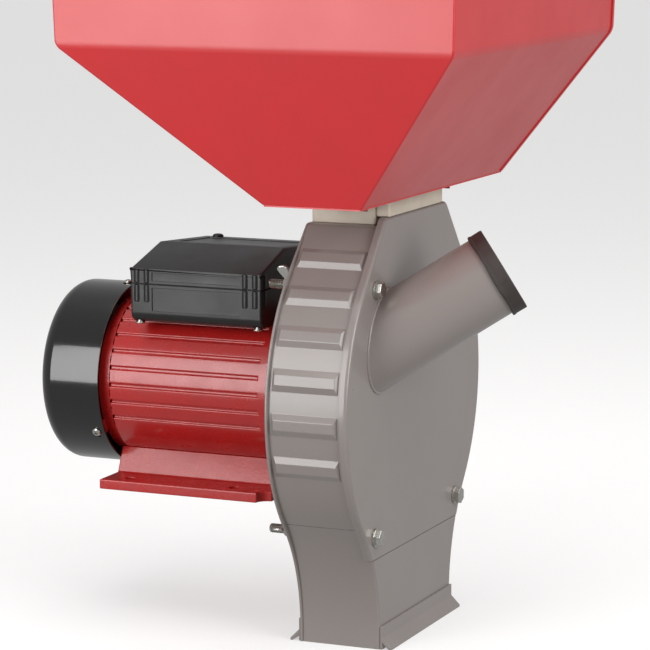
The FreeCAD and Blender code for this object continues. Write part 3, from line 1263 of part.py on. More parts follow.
pin_moves = [about_axis(i * 360 / PINS) for i in range(PINS)]
pin = rod("hammerPin", ("-pin_half", "pin_half"), "pin_radius", "0", "pin_height")
keep(repeated("hammer_pins", pin, pin_moves), "hammer_pins")
clips = [
    turned(word, pipe(span, "pin_radius + fit", "clip_radius"), "0", "pin_height")
    for word, span in (("frontPinClip", ("disc_half + fit", "disc_half + fit + clip_sheet")),
                       ("rearPinClip", ("-disc_half - fit - clip_sheet", "-disc_half - fit")))
]

half_hammer = "hammer_sheet / 2 + swing_gap"
spans = [
    ("-disc_edge + fit", f"-hammer_offset - ({half_hammer})"),
    (f"-hammer_offset + {half_hammer}", f"hammer_offset - ({half_hammer})"),
    (f"hammer_offset + {half_hammer}", "disc_edge - fit"),
]
spacers = [turned(f"pinSpacer{i}", pipe(span, "pin_radius + pin_play", "clip_radius"), "0", "pin_height")
           for i, span in enumerate(spans)]
doc.recompute()
fitting_set = solid("fittingSet", Part.makeCompound([piece.Shape for piece in spacers + clips]))
keep(repeated("pin_spacers_and_clips", fitting_set, pin_moves), "pin_spacers_and_clips")


def make_hammer_pair():
    # Two flat swinging hammers that hang from the upper pin.
    pivot = mm("pin_height")
    blades_pair = []
    for offset in (-mm("hammer_offset"), mm("hammer_offset")):
        x = (offset - mm("hammer_sheet") / 2, offset + mm("hammer_sheet") / 2)
        bar = box_at(x, (-mm("hammer_half"), mm("hammer_half")),
                     (pivot - mm("hammer_reach"), pivot + mm("hammer_tail")))
        corners = [edge for edge in bar.Edges if edge.BoundBox.XLength > 0.1 and edge.BoundBox.YLength < 0.1
                   and edge.BoundBox.ZMin > pivot]
        bar = bar.makeFillet(mm("hammer_half") * 0.7, corners)
        blades_pair.append(bar.cut(bar_x((x[0] - 1, x[1] + 1), mm("pin_radius + pin_play"), 0, pivot)))
    return Part.makeCompound(blades_pair)


hammer_pair = make_hammer_pair()
for index, move in enumerate(pin_moves, start=1):
    upper = Vector(0, 0, mm("pin_height"))
    pair = hammer_pair.copy()
    pair.translate(move.multVec(upper) - upper)
    keep(solid(f"hammers_{index}", pair), f"hammers_{index}")

# ---- Terminal box ----------------------------------------------------------------------------

centre_z = mm("axis_height")
box_x = (mm("box_rear"), mm("box_front"))


def box_prism(corners, x):
    points = [Vector(x[0], y, centre_z + up) for y, up in corners]
    return Part.Face(Part.makePolygon(points + points[:1])).extrude(Vector(x[1] - x[0], 0, 0))


def post_spots():
    inset = mm("box_wall + post_radius - post_sunk")
    reach = mm("box_half") - inset
    return [(x, side * reach) for x in (box_x[0] + inset, box_x[1] - inset) for side in (-1, 1)]


def make_box_base():
    low, seam_up, half, wall = mm("box_drop"), mm("box_seam"), mm("box_half"), mm("box_wall")
    saddle = mm("motor_radius + shell_gap")
    outer = box_at(box_x, (-half, half), (centre_z + low, centre_z + seam_up))
    lower = [edge for edge in outer.Edges
             if edge.BoundBox.ZMax < centre_z + low + 0.1 and edge.BoundBox.XLength > 1]
    outer = outer.makeFillet(mm("box_round"), lower)
    outer = outer.cut(bar_x((box_x[0] - 1, box_x[1] + 1), saddle))
    room = box_at((box_x[0] + wall, box_x[1] - wall), (-half + wall, half - wall),
                  (centre_z + low + wall, centre_z + seam_up + 1))
    room = room.cut(bar_x((box_x[0] - 1, box_x[1] + 1), saddle + wall))
    base = outer.cut(room)
    posts = [Part.makeCylinder(mm("post_radius"), seam_up - low - wall,
                               Vector(x, y, centre_z + low + wall * 0.5)) for x, y in post_spots()]
    base = base.fuse([post_bar.common(outer) for post_bar in posts])
    drills = [Part.makeCylinder(mm("screw_radius + fit"), 60, Vector(x, y, centre_z + low - 2))
              for x, y in post_spots()]
    gland_start = Vector(mm("gland_x"), half - 8, mm("gland_height"))
    drills.append(Part.makeCylinder(mm("gland_radius") * 0.7, 20, gland_start, Vector(0, 1, 0)))
    drills.append(box_at((mm("switch_x - switch_half"), mm("switch_x + switch_half")), (half - 8, half + 1),
                         switch_span()))
    return base.cut(drills).removeSplitter()


def switch_span():
    return mm("gland_height - switch_rise"), mm("gland_height + switch_rise")


def lid_corners(inset):
    return [
        (-mm("box_half") + inset, mm("box_seam + gasket_sheet")),
        (-mm("box_half") + inset, mm("box_rim") - inset * 0.4),
        (mm("ridge_side"), mm("box_ridge") - inset),
        (mm("box_half - far_inset") - inset, mm("box_far") - inset),
        (mm("box_half") - inset, mm("box_rim")),
        (mm("box_half") - inset, mm("box_seam + gasket_sheet")),
    ]


def make_box_lid():
    wall = mm("box_wall")
    lid = box_prism(lid_corners(0), box_x)
    # The ends lean in above the rim.
    for end, way in ((box_x[0], -1), (box_x[1], 1)):
        high = mm("box_ridge") - mm("box_rim")
        low = centre_z + mm("box_rim")
        wedge = [Vector(end, -FAR / 2, low), Vector(end - way * mm("box_draft") * 2, -FAR / 2, low + high * 2),
                 Vector(end + way * 5, -FAR / 2, low + high * 2)]
        lid = lid.cut(Part.Face(Part.makePolygon(wedge + wedge[:1])).extrude(Vector(0, FAR, 0)))
    room = box_prism(lid_corners(wall), (box_x[0] + wall, box_x[1] - wall))
    bosses = [Part.makeCylinder(mm("post_radius"), 60, Vector(x, y, centre_z + mm("box_seam")))
              for x, y in post_spots()]
    room = room.cut(Part.makeCompound(bosses))
    hollow = lid.cut(room)
    drills = [Part.makeCylinder(mm("screw_radius"), mm("lid_bite") + 1, Vector(x, y, centre_z + mm("box_seam")))
              for x, y in post_spots()]
    drills.append(Part.makeCylinder(mm("button_radius + shell_gap"), 40,
                                    Vector(mm("button_x"), mm("button_side"), centre_z + mm("box_rim"))))
    return hollow.cut(drills).removeSplitter()


def make_box_gasket():
    inset = mm("gasket_inset")
    z = (centre_z + mm("box_seam"), centre_z + mm("box_seam + gasket_sheet"))
    half = mm("box_half")
    outer = box_at((box_x[0] + inset, box_x[1] - inset), (-half + inset, half - inset), z)
    room = inset + mm("gasket_width")
    inner = box_at((box_x[0] + room, box_x[1] - room), (-half + room, half - room), (z[0] - 1, z[1] + 1))
    bosses = [Part.makeCylinder(mm("post_radius"), z[1] - z[0], Vector(x, y, z[0])) for x, y in post_spots()]
    ring = outer.cut(inner).fuse(bosses)
    drills = [Part.makeCylinder(mm("screw_radius + fit"), 10, Vector(x, y, z[0] - 2)) for x, y in post_spots()]
    return ring.cut(drills).removeSplitter()


def make_box_screws():
    low = centre_z + mm("box_drop")
    screws = []
    for x, y in post_spots():
        head = Part.makeCylinder(mm("screw_head"), mm("lid_cap"), Vector(x, y, low - mm("lid_cap")))
        shank = Part.makeCylinder(mm("screw_radius - thread_play"), mm("box_depth + lid_bite"),
                                  Vector(x, y, low))
        screws.append(head.fuse(shank))
    return Part.makeCompound(screws)


keep(solid("box_base", make_box_base()), "box_base")
keep(solid("box_lid", make_box_lid()), "box_lid")
keep(solid("box_gasket", make_box_gasket()), "box_gasket")
keep(solid("box_screws", make_box_screws()), "box_screws")

def make_capacitors():
    reach = mm("saddle_top + cap_radius + shell_gap")
    up = math.sqrt(reach ** 2 - mm("cap_side") ** 2)
    span = (mm("cap_rear"), mm("cap_rear + cap_length"))
    return Part.makeCompound([bar_x(span, mm("cap_radius"), side * mm("cap_side"), centre_z + up)
                              for side in (-1, 1)])


def make_terminal_block():
    middle = mm("(box_rear + box_front) / 2")
    low = centre_z + mm("saddle_top + shell_gap")
    half, side, rise = mm("block_half"), mm("block_side"), mm("block_rise")
    body = box_at((middle - half, middle + half), (-side, side), (low, low + rise))
    pitch, width = mm("block_pitch"), mm("block_groove")
    grooves = []
    for i in range(CLAMPS):
        x = middle + (i - (CLAMPS - 1) / 2) * pitch
        grooves.append(box_at((x - width / 2, x + width / 2), (-side - 1, side + 1),
                              (low + rise * 0.6, low + rise + 1)))
    return body.cut(Part.makeCompound(grooves))


def make_cable_gland():
    # A threaded body through the box wall, its locknut inside and its clamping nut outside.
    radius, half, wall = mm("gland_radius"), mm("box_half"), mm("box_wall")
    gap, length = mm("fit"), mm("gland_length")
    x, z = mm("gland_x"), mm("gland_height")

    def turned_y(size, low, high):
        return Part.makeCylinder(size, high - low, Vector(x, low, z), Vector(0, 1, 0))

    inside = half - wall - gap
    neck = turned_y(radius * 0.7 - gap, inside - mm("gland_nut"), half + length)
    collar = turned_y(radius + 2, half + gap, half + length / 3)
    dome = turned_y(radius, half + gap, half + length)
    tip = Part.makeCone(radius, radius * 0.75, mm("gland_tip"), Vector(x, half + length, z), Vector(0, 1, 0))
    locknut = turned_y(radius + 1, inside - mm("gland_nut"), inside)
    bore = turned_y(radius * 0.45, half - 20, half + length + 20)
    return neck.fuse([collar, dome, tip, locknut]).cut(bore).removeSplitter()


def button_top():
    # The highest point of the button, above the sloping lid.
    along = mm("(button_side - ridge_side) / (box_half - far_inset - ridge_side)")
    return centre_z + mm("box_ridge + button_rise") + mm("box_far - box_ridge") * along


def make_overload_button():
    top = button_top()
    x, y, depth = mm("button_x"), mm("button_side"), mm("button_depth")
    cap = Part.makeCylinder(mm("button_radius"), depth, Vector(x, y, top - depth))
    flange = Part.makeCylinder(mm("button_radius + button_flange"), mm("button_collar"),
                               Vector(x, y, top - depth - mm("button_collar")))
    rim = [edge for edge in cap.Edges if edge.BoundBox.ZMin > top - 0.1]
    return cap.makeFillet(mm("button_collar") * 0.6, rim).fuse(flange).removeSplitter()


def make_overload_switch():
    # The breaker under the button stands on the floor of the base, between a screw post and a capacitor.
    gap = mm("breaker_gap")
    top = button_top() - mm("button_depth + button_collar + button_travel")
    y = mm("button_side")
    return box_at((mm("box_rear + box_wall + 2 * post_radius") + gap, mm("cap_rear") - gap), (y - 9, y + 2.5),
                  (centre_z + mm("box_drop + box_wall + shell_gap"), top))


def make_switch_body():
    low, high = switch_span()
    x, half, wall = mm("switch_x"), mm("box_half"), mm("box_wall")
    reach, gap, thick = mm("switch_half"), mm("fit"), mm("switch_wall")
    back, front = half - wall - mm("switch_depth"), half + mm("switch_frame")
    body = box_at((x - reach + gap, x + reach - gap), (back, half + gap), (low + gap, high - gap))
    frame = box_at((x - reach - thick, x + reach + thick), (half + gap, front), (low - thick, high + thick))
    well = box_at((x - reach + thick, x + reach - thick), (back + thick, front + 1),
                  (low + thick, high - thick))
    return body.fuse(frame).cut(well).removeSplitter()


def make_switch_rocker():
    # A bar with a shallow vee in its face, rocking about an upright pin.
    low, high = switch_span()
    x, gap = mm("switch_x"), mm("rocker_gap")
    reach = mm("switch_half - switch_wall") - gap
    pivot = mm("box_half") + 0.2
    shape = [(-reach, pivot - 2.4), (reach, pivot - 2.4), (reach, pivot + 2.2), (0, pivot + 1.2),
             (-reach, pivot + 2.2)]
    margin = mm("switch_wall") + gap
    points = [Vector(x + along, out, low + margin) for along, out in shape]
    bar = Part.Face(Part.makePolygon(points + points[:1])).extrude(Vector(0, 0, high - low - 2 * margin))
    bar.rotate(Vector(x, pivot, 0), Vector(0, 0, 1), -mm("rocker_tilt"))
    return bar


keep(solid("capacitors", make_capacitors()), "capacitors")
keep(solid("terminal_block", make_terminal_block()), "terminal_block")
keep(solid("cable_gland", make_cable_gland()), "cable_gland")
keep(solid("overload_button", make_overload_button()), "overload_button")
keep(solid("overload_switch", make_overload_switch()), "overload_switch")
keep(solid("switch_body", make_switch_body()), "switch_body")
keep(solid("switch_rocker", make_switch_rocker()), "switch_rocker")

# ---- Check and export ------------------------------------------------------------------------

doc.recompute()
faults = []
for piece in doc.Objects:
    if {"Invalid", "Error"} & set(piece.State):
        faults.append(f"{piece.Label}: {piece.State}")
for piece in nodes:
    shape = piece.Shape
    if shape.isNull() or not shape.isValid() or not shape.Solids or shape.Volume <= 0:
        faults.append(f"{piece.Label}: bad shape")
if len({piece.Label for piece in nodes}) != len(nodes):
    faults.append("two pieces share a name")
if faults:
    raise RuntimeError("; ".join(faults))

os.makedirs("parts", exist_ok=True)
for piece in nodes:
    piece.Shape.exportStep(f"parts/{piece.Label}.step")
    print(f"{piece.Label}: {len(piece.Shape.Solids)} solid(s), {piece.Shape.Volume / 1000:.1f} cm3")
print(len(nodes), "nodes")
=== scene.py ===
import json
import math

import bmesh
import bpy
from mathutils import Matrix, Vector

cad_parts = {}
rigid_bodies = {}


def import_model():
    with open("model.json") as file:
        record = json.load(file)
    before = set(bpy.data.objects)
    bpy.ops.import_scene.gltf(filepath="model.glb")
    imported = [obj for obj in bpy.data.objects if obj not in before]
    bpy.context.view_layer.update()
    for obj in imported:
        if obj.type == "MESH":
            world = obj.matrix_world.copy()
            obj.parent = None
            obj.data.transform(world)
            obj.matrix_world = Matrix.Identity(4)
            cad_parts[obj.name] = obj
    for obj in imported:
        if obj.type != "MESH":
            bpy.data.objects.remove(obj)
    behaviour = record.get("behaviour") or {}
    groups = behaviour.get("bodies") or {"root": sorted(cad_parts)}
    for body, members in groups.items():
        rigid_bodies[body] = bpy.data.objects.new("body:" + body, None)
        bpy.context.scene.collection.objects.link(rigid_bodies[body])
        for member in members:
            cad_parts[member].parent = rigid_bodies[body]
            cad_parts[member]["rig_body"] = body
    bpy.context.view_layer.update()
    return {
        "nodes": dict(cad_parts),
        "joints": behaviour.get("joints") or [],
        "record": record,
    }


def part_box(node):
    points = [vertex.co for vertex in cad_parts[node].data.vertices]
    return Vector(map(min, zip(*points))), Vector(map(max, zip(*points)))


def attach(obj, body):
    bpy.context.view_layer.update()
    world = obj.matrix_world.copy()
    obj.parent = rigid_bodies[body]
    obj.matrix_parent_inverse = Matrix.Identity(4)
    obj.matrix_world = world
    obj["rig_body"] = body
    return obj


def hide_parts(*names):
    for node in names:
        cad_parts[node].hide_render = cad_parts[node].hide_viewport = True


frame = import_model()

# Electric hammer mill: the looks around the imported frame.
# Lengths in the dictionaries are millimetres; the scene is in metres.
# X runs along the motor shaft towards the front cover, Z is up.

mm = 0.001
nodes = frame["nodes"]
turn = 2 * math.pi
tiny = 0.00002
centre = Vector((0, 0, 0))
xWay = Vector((1, 0, 0))
slotOf = {part["node"]: part["material_slot"] for part in frame["record"]["subparts"]}


def low(node):
    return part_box(node)[0] / mm


def high(node):
    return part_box(node)[1] / mm


axisHeight = (low("motor_shaft").z + high("motor_shaft").z) / 2
print("frame loaded,", len(nodes), "nodes")


# Materials

def hexColour(text):
    parts = [int(text[i:i + 2], 16) / 255 for i in (1, 3, 5)]
    return tuple(p / 12.92 if p <= 0.04045 else ((p + 0.055) / 1.055) ** 2.4 for p in parts) + (1.0,)


def addNode(tree, kind, links=None, **settings):
    node = tree.nodes.new(kind)
    for key, value in settings.items():
        setattr(node, key, value)
    for key, value in (links or {}).items():
        if isinstance(value, bpy.types.NodeSocket):
            tree.links.new(value, node.inputs[key])
        else:
            node.inputs[key].default_value = value
    return node


def finish(name, look):
    # Two close tones in soft patches, a roughness that drifts with them, and one or two sizes of relief.
    material = bpy.data.materials.new(name)
    material.use_nodes = True
    tree = material.node_tree
    tree.nodes.clear()
    place = addNode(tree, "ShaderNodeTexCoord").outputs["Object"]
    stretch = addNode(tree, "ShaderNodeMapping", {"Vector": place, "Scale": look.get("stretch", (1, 1, 1))})
    where = stretch.outputs["Vector"]
    patch = addNode(tree, "ShaderNodeTexNoise", {
        "Vector": where, "Scale": 1 / (look["patch"] * mm), "Detail": 3.0, "Roughness": 0.55}).outputs["Fac"]
    tone = addNode(tree, "ShaderNodeMapRange", {
        "Value": patch, "From Min": 0.3, "From Max": 0.7}).outputs["Result"]
    colour = addNode(tree, "ShaderNodeMix", {
        0: tone, 6: hexColour(look["colour"]), 7: hexColour(look["tone"])}, data_type="RGBA").outputs[2]
    rough = addNode(tree, "ShaderNodeMapRange", {
        "Value": patch, "From Min": 0.3, "From Max": 0.7,
        "To Min": look["rough"][0], "To Max": look["rough"][1]}).outputs["Result"]
    relief = None
    for size, depth in look["relief"]:
        grain = addNode(tree, "ShaderNodeTexNoise", {
            "Vector": where, "Scale": 1 / (size * mm), "Detail": 2.0}).outputs["Fac"]
        bump = {"Height": grain, "Distance": depth * mm, "Strength": 1.0}
        if relief:
            bump["Normal"] = relief
        relief = addNode(tree, "ShaderNodeBump", bump).outputs["Normal"]
    shader = addNode(tree, "ShaderNodeBsdfPrincipled", {
        "Base Color": colour, "Roughness": rough, "Normal": relief,
        "Metallic": look.get("metal", 0.0), "Coat Weight": look.get("coat", 0.0),
        "Coat Roughness": look.get("coatRough", 0.05), "IOR": 1.5})
    addNode(tree, "ShaderNodeOutputMaterial", {"Surface": shader.outputs["BSDF"]})
    return material


looks = {
    # Satin-gloss powder coat on sheet steel: even red, faint orange peel, soft wide reflections.
    "hopper_paint": ("powderCoatRed", {
        "colour": "#C8272B", "tone": "#C22529", "rough": (0.30, 0.36), "patch": 60, "coat": 0.25,
        "coatRough": 0.12, "relief": ((4, 0.012),)}),
    # Hammered enamel on cast metal: deep red with a beaten, wet-looking skin.
    "motor_paint": ("hammeredEnamelRed", {
        "colour": "#B2201D", "tone": "#A81B19", "rough": (0.24, 0.34), "patch": 18, "coat": 0.5,
        "coatRough": 0.08, "relief": ((2.2, 0.10), (0.9, 0.03))}),
    # Gloss enamel on pressed steel: warm grey that picks up long soft highlights.
    "casing_paint": ("glossEnamelGrey", {
        "colour": "#8A827E", "tone": "#877F7B", "rough": (0.27, 0.31), "patch": 80, "coat": 0.35,
        "coatRough": 0.1, "relief": ((9, 0.004),)}),
    # Satin paint on a cast collar: pale beige with a slightly sandy skin.
    "collar_paint": ("satinPaintBeige", {
        "colour": "#C9C0AE", "tone": "#C1B7A5", "rough": (0.42, 0.5), "patch": 14,
        "relief": ((1.2, 0.03),)}),
    # The gate's sheet, painted thinly in the hopper's red.
    "gate_paint": ("thinPaintRed", {
        "colour": "#A32A2E", "tone": "#8C2428", "rough": (0.36, 0.5), "patch": 9, "relief": ((2, 0.02),)}),
    # Gloss black enamel on a deep-drawn cover: near black, sharp reflections.
    "black_paint": ("glossEnamelBlack", {
        "colour": "#0B0A0A", "tone": "#100E0E", "rough": (0.12, 0.16), "patch": 40, "coat": 0.6,
        "coatRough": 0.04, "relief": ((6, 0.012),)}),
    # Moulded ABS, polished tool: satin black with broad grey reflections.
    "box_plastic": ("mouldedAbsBlack", {
        "colour": "#151313", "tone": "#1A1817", "rough": (0.30, 0.38), "patch": 22,
        "relief": ((0.8, 0.012),)}),
    # Moulded nylon: slightly softer black than the box.
    "button_plastic": ("mouldedNylonBlack", {
        "colour": "#1A1A1B", "tone": "#222223", "rough": (0.38, 0.46), "patch": 4,
        "relief": ((0.6, 0.015),)}),
    # Moulded rubber: brown-black, dull, with a dusty bloom.
    "cap_rubber": ("mouldedRubberBrown", {
        "colour": "#332B29", "tone": "#3E3633", "rough": (0.52, 0.68), "patch": 9, "relief": ((1.1, 0.05),)}),
    # Cut gasket sheet: matt black.
    "seal_rubber": ("gasketRubber", {
        "colour": "#141414", "tone": "#1B1B1B", "rough": (0.6, 0.75), "patch": 6, "relief": ((0.7, 0.03),)}),
    # Bright zinc plating on turned steel: cool silver with a faint yellow cast.
    "zinc": ("brightZincPlate", {
        "colour": "#D3D2CE", "tone": "#BDBBB2", "rough": (0.16, 0.3), "patch": 3, "metal": 1.0,
        "relief": ((0.8, 0.008),)}),
    # Rolled mill steel: dark grey with scale and rubbed patches.
    "mill_steel": ("rolledMillSteel", {
        "colour": "#6E6C6B", "tone": "#8D8A87", "rough": (0.32, 0.5), "patch": 8, "metal": 1.0,
        "relief": ((0.9, 0.03),)}),
    # Ground bearing steel: bright and even.
    "bearing_steel": ("groundBearingSteel", {
        "colour": "#C2C3C5", "tone": "#B2B3B6", "rough": (0.12, 0.2), "patch": 6, "metal": 1.0,
        "relief": ((0.5, 0.004),)}),
    # Stacked lamination sheets 0.5 mm thick, drawn 1.5 mm apart to show.
    "lamination": ("stackedLaminations", {
        "colour": "#5B5A5C", "tone": "#77767A", "rough": (0.35, 0.5), "patch": 1.5, "metal": 1.0,
        "stretch": (1, 0.05, 0.05), "relief": ((1.5, 0.15),)}),
    # Enamelled copper wire, 1 mm across, wound round the shaft axis.
    "copper": ("enamelledCopper", {
        "colour": "#A4532B", "tone": "#C06A3A", "rough": (0.25, 0.38), "patch": 1, "metal": 1.0,
        "stretch": (1, 0.08, 0.08), "relief": ((1.0, 0.2),)}),
    # Drawn aluminium can: pale, with faint lines along its length.
    "capacitor_shell": ("drawnAluminium", {
        "colour": "#C7C8CA", "tone": "#B7B8BB", "rough": (0.25, 0.36), "patch": 3, "metal": 1.0,
        "stretch": (0.05, 1, 1), "relief": ((0.6, 0.01),)}),
}
finishes = {slot: finish(name, look) for slot, (name, look) in looks.items()}
for node, cad in nodes.items():
    cad.data.materials.clear()
    cad.data.materials.append(finishes[slotOf[node]])
print("materials made,", len(finishes))


# Modelling helpers

def facedOutward(bm, middle=None):
    # One way round for every face, then away from the middle of the shape.
    bmesh.ops.recalc_face_normals(bm, faces=bm.faces)
    if middle is not None:
        outward = sum(f.normal.dot(f.calc_center_median() - middle) * f.calc_area() for f in bm.faces)
        if outward < 0:
            bmesh.ops.reverse_faces(bm, faces=bm.faces)


def merged(bm):
    bmesh.ops.remove_doubles(bm, verts=bm.verts, dist=tiny)
    return bm


def rounded(bm, edges, offset, segments):
    bmesh.ops.bevel(bm, geom=list(edges), offset=offset * mm, offset_type="OFFSET", segments=segments,
                    profile=0.5, affect="EDGES", material=-1, clamp_overlap=True)


def meshOf(bm, name):
    mesh = bpy.data.meshes.new(name)
    bm.to_mesh(mesh)
    bm.free()
    return mesh


def linked(name, mesh):
    piece = bpy.data.objects.new(name, mesh)
    bpy.context.scene.collection.objects.link(piece)
    return piece


def pieceOf(name, bm):
    return linked(name, meshOf(bm, name))


def settle(piece):
    # The piece's mesh becomes what its modifiers make of it.
    graph = bpy.context.evaluated_depsgraph_get()
    mesh = bpy.data.meshes.new_from_object(piece.evaluated_get(graph))
    piece.modifiers.clear()
    piece.data = mesh


def addWall(piece, thickness, even=True):
    wall = piece.modifiers.new("wall", "SOLIDIFY")
    wall.thickness = thickness * mm
    wall.offset = -1
    wall.use_even_offset = even


def addBevel(piece, width, segments=3, angle=32):
    edge = piece.modifiers.new("edge", "BEVEL")
    edge.width = width * mm
    edge.segments = segments
    edge.limit_method = "ANGLE"
    edge.angle_limit = math.radians(angle)
    edge.profile = 0.5
    edge.use_clamp_overlap = True


def carve(piece, cutters):
    settle(piece)
    for cutter in cutters:
        tool = piece.modifiers.new("cut", "BOOLEAN")
        tool.operation = "DIFFERENCE"
        tool.object = cutter
        tool.solver = "EXACT"
    settle(piece)
    for cutter in cutters:
        bpy.data.objects.remove(cutter)
    bm = bmesh.new()
    bm.from_mesh(piece.data)
    bmesh.ops.remove_doubles(bm, verts=bm.verts, dist=tiny / 10)
    bmesh.ops.holes_fill(bm, edges=[e for e in bm.edges if e.is_boundary], sides=6)
    bm.to_mesh(piece.data)
    bm.free()


def present(piece, replaced, smooth=36, body=None, slot=None):
    # Soft shading over the rounded edges, then the frame's rows: body, node and slot.
    piece.data.shade_smooth()
    piece.data.set_sharp_from_angle(angle=math.radians(smooth))
    even = piece.modifiers.new("even", "WEIGHTED_NORMAL")
    even.mode = "FACE_AREA"
    even.keep_sharp = True
    slot = slot or slotOf[replaced[0]]
    piece.data.materials.clear()
    piece.data.materials.append(finishes[slot])
    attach(piece, body or nodes[replaced[0]]["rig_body"])
    if replaced:
        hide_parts(*replaced)


def roundedCopy(node, width, segments=2):
    # The CAD node's own shape with its edges rounded.
    bm = bmesh.new()
    bm.from_mesh(nodes[node].data)
    merged(bm)
    bmesh.ops.dissolve_limit(bm, angle_limit=math.radians(0.6), verts=bm.verts, edges=bm.edges)
    piece = linked(node + "Rounded", meshOf(bm, node + "Mesh"))
    addBevel(piece, width, segments)
    settle(piece)
    present(piece, [node])


def turnedShape(profile, steps=64, closed=False):
    # (along, radius) pairs in millimetres, spun about the X axis.
    bm = bmesh.new()
    verts = [bm.verts.new((along * mm, 0, radius * mm)) for along, radius in profile]
    pairs = list(zip(verts, verts[1:])) + ([(verts[-1], verts[0])] if closed else [])
    edges = [bm.edges.new(pair) for pair in pairs]
    bmesh.ops.spin(bm, geom=verts + edges, cent=centre, axis=xWay, angle=turn, steps=steps,
                   use_merge=True, use_duplicate=False)
    merged(bm)
    bmesh.ops.dissolve_degenerate(bm, dist=tiny / 4, edges=bm.edges)
    middle = sum((v.co for v in bm.verts), Vector()) / len(bm.verts)
    facedOutward(bm, None if closed else Vector((middle.x, 0, 0)))
    return bm


def prismShape(corners, depth):
    # A flat outline of (x, z) pairs in millimetres, as thick as depth along Y, middled on Y = 0.
    bm = bmesh.new()
    face = bm.faces.new([bm.verts.new((x * mm, -depth * mm / 2, z * mm)) for x, z in corners])
    grown = bmesh.ops.extrude_face_region(bm, geom=[face])["geom"]
    bmesh.ops.translate(bm, vec=(0, depth * mm, 0), verts=vertsIn(grown))
    bmesh.ops.recalc_face_normals(bm, faces=bm.faces)
    return bm


def boxShape(lowCorner, highCorner):
    size = [h - l for l, h in zip(lowCorner, highCorner)]
    middle = [(l + h) / 2 * mm for l, h in zip(lowCorner, highCorner)]
    bm = bmesh.new()
    scale = Matrix.Diagonal([s * mm for s in size] + [1])
    bmesh.ops.create_cube(bm, size=1, matrix=Matrix.Translation(middle) @ scale)
    return bm


def stamp(bm, mesh, matrix):
    # One more copy of a mesh in the shape, at its own place.
    before = len(bm.verts)
    bm.from_mesh(mesh)
    bm.verts.ensure_lookup_table()
    bmesh.ops.transform(bm, matrix=matrix, verts=bm.verts[before:])


def at(x, y, z):
    return Matrix.Translation((x * mm, y * mm, z * mm))


def facing(way):
    # Turns the X axis to the given direction.
    return xWay.rotation_difference(Vector(way)).to_matrix().to_4x4()


def aboutShaft(degrees):
    return at(0, 0, axisHeight) @ rolled(degrees) @ at(0, 0, -axisHeight)


def vertsIn(geom):
    return [g for g in geom if isinstance(g, bmesh.types.BMVert)]


def edgesIn(geom):
    return [g for g in geom if isinstance(g, bmesh.types.BMEdge)]


def sharpEdges(bm, angle):
    return [e for e in bm.edges if e.calc_face_angle(0) > angle]


def edgesAlong(bm, axis):
    # Edges that cover at least 5 mm along that axis.
    return [e for e in bm.edges if abs(getattr(e.verts[0].co, axis) - getattr(e.verts[1].co, axis)) > 5 * mm]


def addRod(bm, radius, depth, segments, **more):
    # A closed cylinder along Z; six segments make a nut or a bolt's head.
    bmesh.ops.create_cone(bm, cap_ends=True, segments=segments, radius1=radius * mm, radius2=radius * mm,
                          depth=depth * mm, **more)


def rolled(degrees):
    return Matrix.Rotation(math.radians(degrees), 4, "X")


def pulledFaces(bm, distance):
    grown = bmesh.ops.extrude_face_region(bm, geom=bm.faces[:])["geom"]
    bmesh.ops.translate(bm, vec=(distance * mm, 0, 0), verts=vertsIn(grown))
    bmesh.ops.recalc_face_normals(bm, faces=bm.faces)


def sectionShape(corners, start, end):
    # An outline of (y, z) pairs in millimetres, pulled from one X to the other.
    bm = bmesh.new()
    bm.faces.new([bm.verts.new((start * mm, y * mm, z * mm)) for y, z in corners])
    pulledFaces(bm, end - start)
    return bm


# The casing's outline, half of it, as a chain of edges that the wall, the cover and the plate share.

casing = {
    "radius": high("casing_wall").z - axisHeight + 3,
    "foot": high("outlet_lips").y,
    "straight": 10, "half": 70, "corner": 7, "wall": 1.5,
    "ribs": 6, "ribStart": -16.3, "ribPitch": 13.8, "ribHalf": 3.52, "ribFlank": 5.2, "ribRise": 2.8,
    "ribInset": 2.6, "ribShort": 2.2, "ribEnd": 2.6, "step": 2.4,
}


def nextVert(bm, vert, y, z):
    new = bm.verts.new((vert.co.x, y * mm, z * mm))
    bm.edges.new((vert, new))
    return new


def arcOn(bm, vert, y, z, degrees, steps):
    spun = bmesh.ops.spin(bm, geom=[vert], cent=(vert.co.x, y * mm, z * mm), axis=xWay,
                          angle=math.radians(degrees), steps=steps, use_duplicate=False)
    return vertsIn(spun["geom_last"])[0]


def shoulderAngle(radius, rise, half):
    return math.degrees(math.atan2(rise, half) - math.acos(radius / math.hypot(rise, half)))


